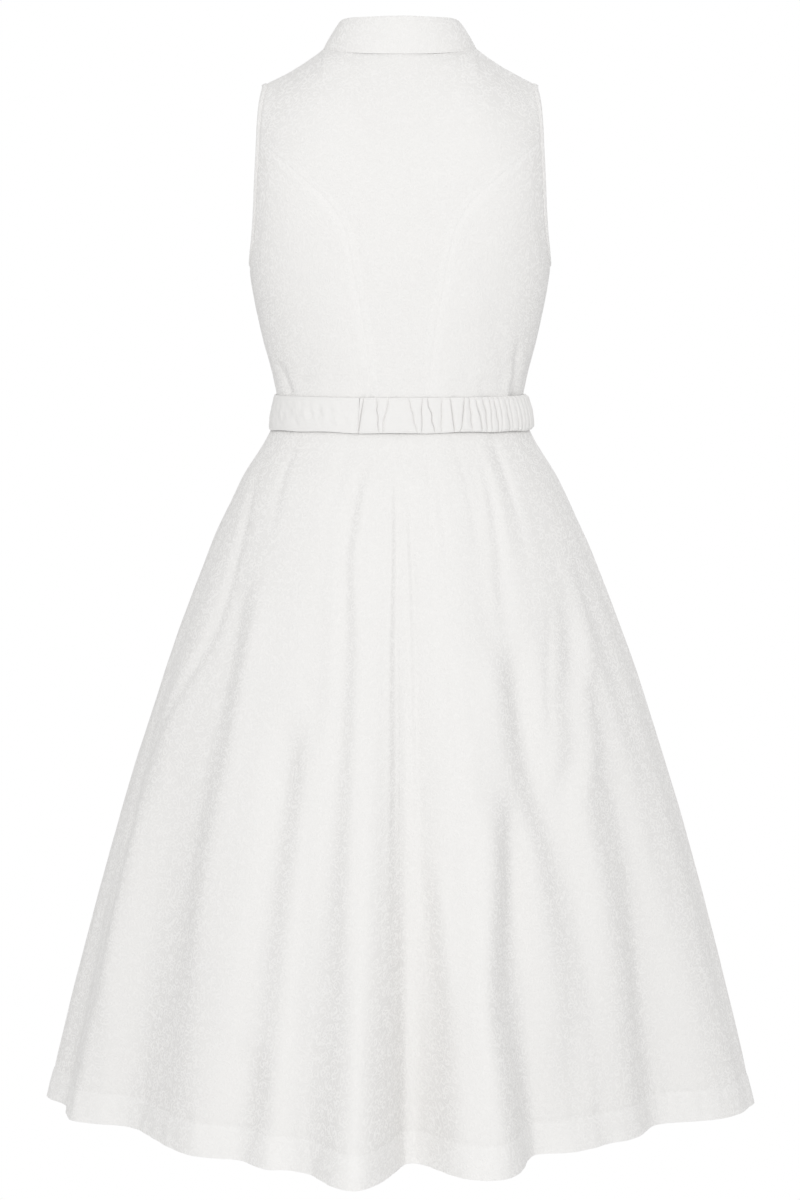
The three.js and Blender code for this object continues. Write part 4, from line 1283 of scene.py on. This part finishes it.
neck_z = float(top_edge_z(0.0, True))
for k in range(button_count):
    z = lerp(neck_z - first_button_drop, last_button_z, k / (button_count - 1))
    point, normal = middle_front(z)
    place = point + normal * button_lift
    sew_button(f"button_{k + 1}", f"dress_button_{k + 1}", button_radius, place, normal, reach=3.0)
    sew_buttonhole(z, neck_z - 1)
sew_button("belt_button", "dress_belt_button", belt_button_radius, *belt_front(), reach=3.6)

# Stitches


def stitch_tree():
    """Puts one short sewn stitch on every point, by its attributes way, upward and reach."""
    tree = bpy.data.node_groups.new("Sewn stitches", "GeometryNodeTree")
    sockets = {"Points": "Geometry", "Thread radius": "Float", "Seed": "Int", "Thread": "Material"}
    for name, kind in sockets.items():
        tree.interface.new_socket(name=name, in_out="INPUT", socket_type="NodeSocket" + kind)
    tree.interface.new_socket(name="Stitches", in_out="OUTPUT", socket_type="NodeSocketGeometry")
    nodes = Nodes(tree)
    given, made = nodes.add("NodeGroupInput"), nodes.add("NodeGroupOutput")
    radius = given.outputs["Thread radius"]
    bends = {"Start": (-0.5, -1.6), "Middle": (0.0, 2.0), "End": (0.5, -1.6)}
    ends = {"Resolution": 4}
    for name, (x, dip) in bends.items():
        height = nodes.math("MULTIPLY", radius, dip)
        ends[name] = nodes.add("ShaderNodeCombineXYZ", {0: x, 2: height}).outputs[0]
    arc = nodes.add("GeometryNodeCurveQuadraticBezier", ends)
    ring = nodes.add("GeometryNodeCurvePrimitiveCircle", {"Resolution": 5, "Radius": radius})
    tube = {"Curve": arc.outputs[0], "Profile Curve": ring.outputs[0], "Fill Caps": True}
    stitch = nodes.add("GeometryNodeCurveToMesh", tube)

    def attribute(name, kind):
        found = nodes.add("GeometryNodeInputNamedAttribute", {"Name": name}, data_type=kind)
        return found.outputs["Attribute"]

    way = attribute("way", "FLOAT_VECTOR")
    upward = attribute("upward", "FLOAT_VECTOR")
    reach = attribute("reach", "FLOAT")
    between = {2: 0.9, 3: 1.04, "Seed": given.outputs["Seed"]}
    uneven = nodes.add("FunctionNodeRandomValue", between, data_type="FLOAT").outputs[1]
    laid_flat = nodes.add("FunctionNodeAlignRotationToVector", {"Vector": way}, axis="X")
    upright = {"Rotation": laid_flat.outputs[0], "Vector": upward}
    turned = nodes.add("FunctionNodeAlignRotationToVector", upright, axis="Z", pivot_axis="X")
    size = nodes.add("ShaderNodeCombineXYZ", {0: nodes.math("MULTIPLY", reach, uneven), 1: 1.0, 2: 1.0})
    placed = nodes.add("GeometryNodeInstanceOnPoints", {
        "Points": given.outputs["Points"],
        "Instance": stitch.outputs[0],
        "Rotation": turned.outputs[0],
        "Scale": size.outputs[0],
    })
    real = nodes.add("GeometryNodeRealizeInstances", {0: placed.outputs[0]})
    coat = {"Geometry": real.outputs[0], "Material": given.outputs["Thread"]}
    coated = nodes.add("GeometryNodeSetMaterial", coat)
    nodes.put(made.inputs["Stitches"], coated.outputs[0])
    return tree


sewing = stitch_tree()


def sewn(name, stitches, radius=0.2):
    """A piece made of stitches, each given by its middle, way, upward side and length."""
    middles, ways, ups, reaches = (np.array(column, float) for column in zip(*stitches))
    mesh = bpy.data.meshes.new(name)
    mesh.from_pydata((middles * MM).tolist(), [], [])
    for mark, values in (("way", ways), ("upward", ups)):
        attribute = mesh.attributes.new(mark, "FLOAT_VECTOR", "POINT")
        attribute.data.foreach_set("vector", values.astype(np.float32).ravel())
    attribute = mesh.attributes.new("reach", "FLOAT", "POINT")
    attribute.data.foreach_set("value", (reaches * MM).astype(np.float32))
    piece = bpy.data.objects.new(name, mesh)
    bpy.context.scene.collection.objects.link(piece)
    modifier = piece.modifiers.new("stitches", "NODES")
    modifier.node_group = sewing
    values = {"Thread radius": radius * MM, "Seed": 5, "Thread": thread}
    for item in sewing.interface.items_tree:
        if item.in_out == "INPUT" and item.name in values:
            modifier[item.identifier] = values[item.name]
    bpy.context.view_layer.update()
    made = bpy.data.meshes.new_from_object(piece.evaluated_get(bpy.context.evaluated_depsgraph_get()))
    piece.modifiers.clear()
    made.polygons.foreach_set("use_smooth", [True] * len(made.polygons))
    piece.data = made
    made.name = name
    return piece


def stitch_row(cloth, rows, pitch=2.4, columns=False, ring=False):
    """Stitches across a piece of cloth at a row of its grid, or at a place between rows for each column."""
    points, normals = laid[cloth]
    if columns:
        points, normals = points.transpose(1, 0, 2), normals.transpose(1, 0, 2)
    rows = np.broadcast_to(np.asarray(rows, float), points.shape[1])
    low = np.floor(rows).astype(int)
    each = np.arange(points.shape[1])
    line = lerp(points[low, each], points[low + 1, each], (rows - low)[:, None])
    up = normals[low, each]
    if ring:
        line, up = np.vstack([line, line[:1]]), np.vstack([up, up[:1]])
    run = run_along(line)
    count = int(run[-1] / pitch)
    at = (np.arange(count) + 0.5) * run[-1] / count
    middles = along_line(line, run, at)
    ways = along_line(line, run, at + 0.5) - along_line(line, run, at - 0.5)
    ups = along_line(up, run, at)
    return [(*placed, 0.78 * pitch) for placed in zip(middles, ways, ups)]


collar_height = np.linalg.norm(np.diff(laid["stand_collar"][0], axis=0), axis=-1).sum(0)
collar_row = (laid["stand_collar"][0].shape[0] - 1) * (1 - collar_stitch / collar_height)
placket_middle = (placket_columns - 1) / 2
placket_lines = [placket_middle * (1 + side * placket_stitch / placket_half) for side in (-1, 1)]
hem_row = hem_rows - 2


def two_rows(cloth, rows, columns=False):
    return [stitch for row in rows for stitch in stitch_row(cloth, row, columns=columns)]


stitching = {
    "stand_collar": stitch_row("stand_collar", collar_row),
    "button_placket": two_rows("button_placket", placket_lines, True) + hole_stitches,
    "gathered_belt": two_rows("gathered_belt", [share * (gather_rows - 1) for share in gather_stitches]),
}
for word, _ in both_sides:
    stitching[f"armhole_edge_{word}"] = stitch_row(f"armhole_edge_{word}", binding_stitch_row, ring=True)
    belt_lines = [share * (belt_rows - 1) for share in belt_stitches]
    stitching[f"{word}_belt_end"] = two_rows(f"{word}_belt_end", belt_lines)
    for _, place in back_and_front:
        cloth = f"skirt_{place}_panel_{word}"
        stitching[cloth] = stitch_row(cloth, hem_row, pitch=3.0)
stitch_pieces = {cloth: sewn(f"{cloth}_stitches", stitches) for cloth, stitches in stitching.items()}
button_threads = sewn("button_threads", holding_threads, radius=0.3)

# What each piece stands for

clothes = {**bodice_pieces, "placket": placket, "collar": collar, **skirt_pieces}
clothes.update({f"armhole_binding_{word}": piece for word, piece in bindings.items()})
for cloth, piece in stitch_pieces.items():
    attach(piece, "root")
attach(button_threads, "root")
for node, piece in clothes.items():
    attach(piece, "root")
    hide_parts(node)
for node, piece in belt_pieces.items():
    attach(piece, "root")
    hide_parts(node)
for node, piece in button_pieces.items():
    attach(piece, "root")
    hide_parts(node)

# Floor, light and camera


def stage_floor(reach, level):
    """A wide pale floor that the camera sees as plain white."""
    mesh = bpy.data.meshes.new("floor")
    corners = [(reach * x, reach * y, level) for x, y in ((-1, -1), (1, -1), (1, 1), (-1, 1))]
    mesh.from_pydata(corners, [], [(0, 1, 2, 3)])
    floor = bpy.data.objects.new("floor", mesh)
    bpy.context.scene.collection.objects.link(floor)
    material = bpy.data.materials.new("pale_floor")
    material.use_nodes = True
    material.node_tree.nodes.clear()
    nodes = Nodes(material.node_tree)
    matt = nodes.add("ShaderNodeBsdfDiffuse", {"Color": (0.9, 0.9, 0.9, 1)})
    glow = nodes.add("ShaderNodeEmission", {"Color": (1, 1, 1, 1), "Strength": 1.0})
    seen = nodes.add("ShaderNodeLightPath")
    shown = {0: seen.outputs["Is Camera Ray"], 1: matt.outputs[0], 2: glow.outputs[0]}
    mix = nodes.add("ShaderNodeMixShader", shown)
    out = nodes.add("ShaderNodeOutputMaterial")
    nodes.put(out.inputs["Surface"], mix.outputs[0])
    mesh.materials.append(material)


def studio_world(ambient):
    """White light from all round, which the camera sees as plain white."""
    world = bpy.data.worlds.new("studio")
    bpy.context.scene.world = world
    world.use_nodes = True
    world.node_tree.nodes.clear()
    nodes = Nodes(world.node_tree)
    seen = nodes.add("ShaderNodeLightPath")
    level = nodes.add("ShaderNodeMapRange", {0: seen.outputs["Is Camera Ray"], 3: ambient, 4: 1.0})
    background = nodes.add("ShaderNodeBackground", {"Color": (1, 1, 1, 1), "Strength": level.outputs[0]})
    out = nodes.add("ShaderNodeOutputWorld")
    nodes.put(out.inputs["Surface"], background.outputs[0])


def area_light(name, place, aim, size, watts):
    data = bpy.data.lights.new(name, "AREA")
    data.shape = "DISK"
    data.size = size
    data.energy = watts
    light = bpy.data.objects.new(name, data)
    bpy.context.scene.collection.objects.link(light)
    light.location = place
    light.rotation_euler = (Vector(aim) - Vector(place)).to_track_quat("-Z", "Y").to_euler()


def camera_behind(place, tilt, lens):
    """A camera behind the dress that looks straight at it, tilted down by a few degrees."""
    data = bpy.data.cameras.new("camera")
    data.sensor_width = 36
    data.lens = lens
    camera = bpy.data.objects.new("camera", data)
    bpy.context.scene.collection.objects.link(camera)
    camera.location = place
    camera.rotation_euler = (math.radians(90 - tilt), 0, math.radians(180))
    bpy.context.scene.camera = camera


stage_floor(reach=30.0, level=-1.62)
studio_world(ambient=0.75)
area_light("key", place=(0.1, 3.3, 0.7), aim=(0, 0, -0.35), size=1.6, watts=36)
area_light("front_fill", place=(-0.8, -3.2, 0.8), aim=(0, 0, -0.5), size=2.4, watts=20)
camera_behind(place=(0, 3.3, -0.207), tilt=6.37, lens=90.81)
bpy.context.scene.view_settings.view_transform = "Standard"
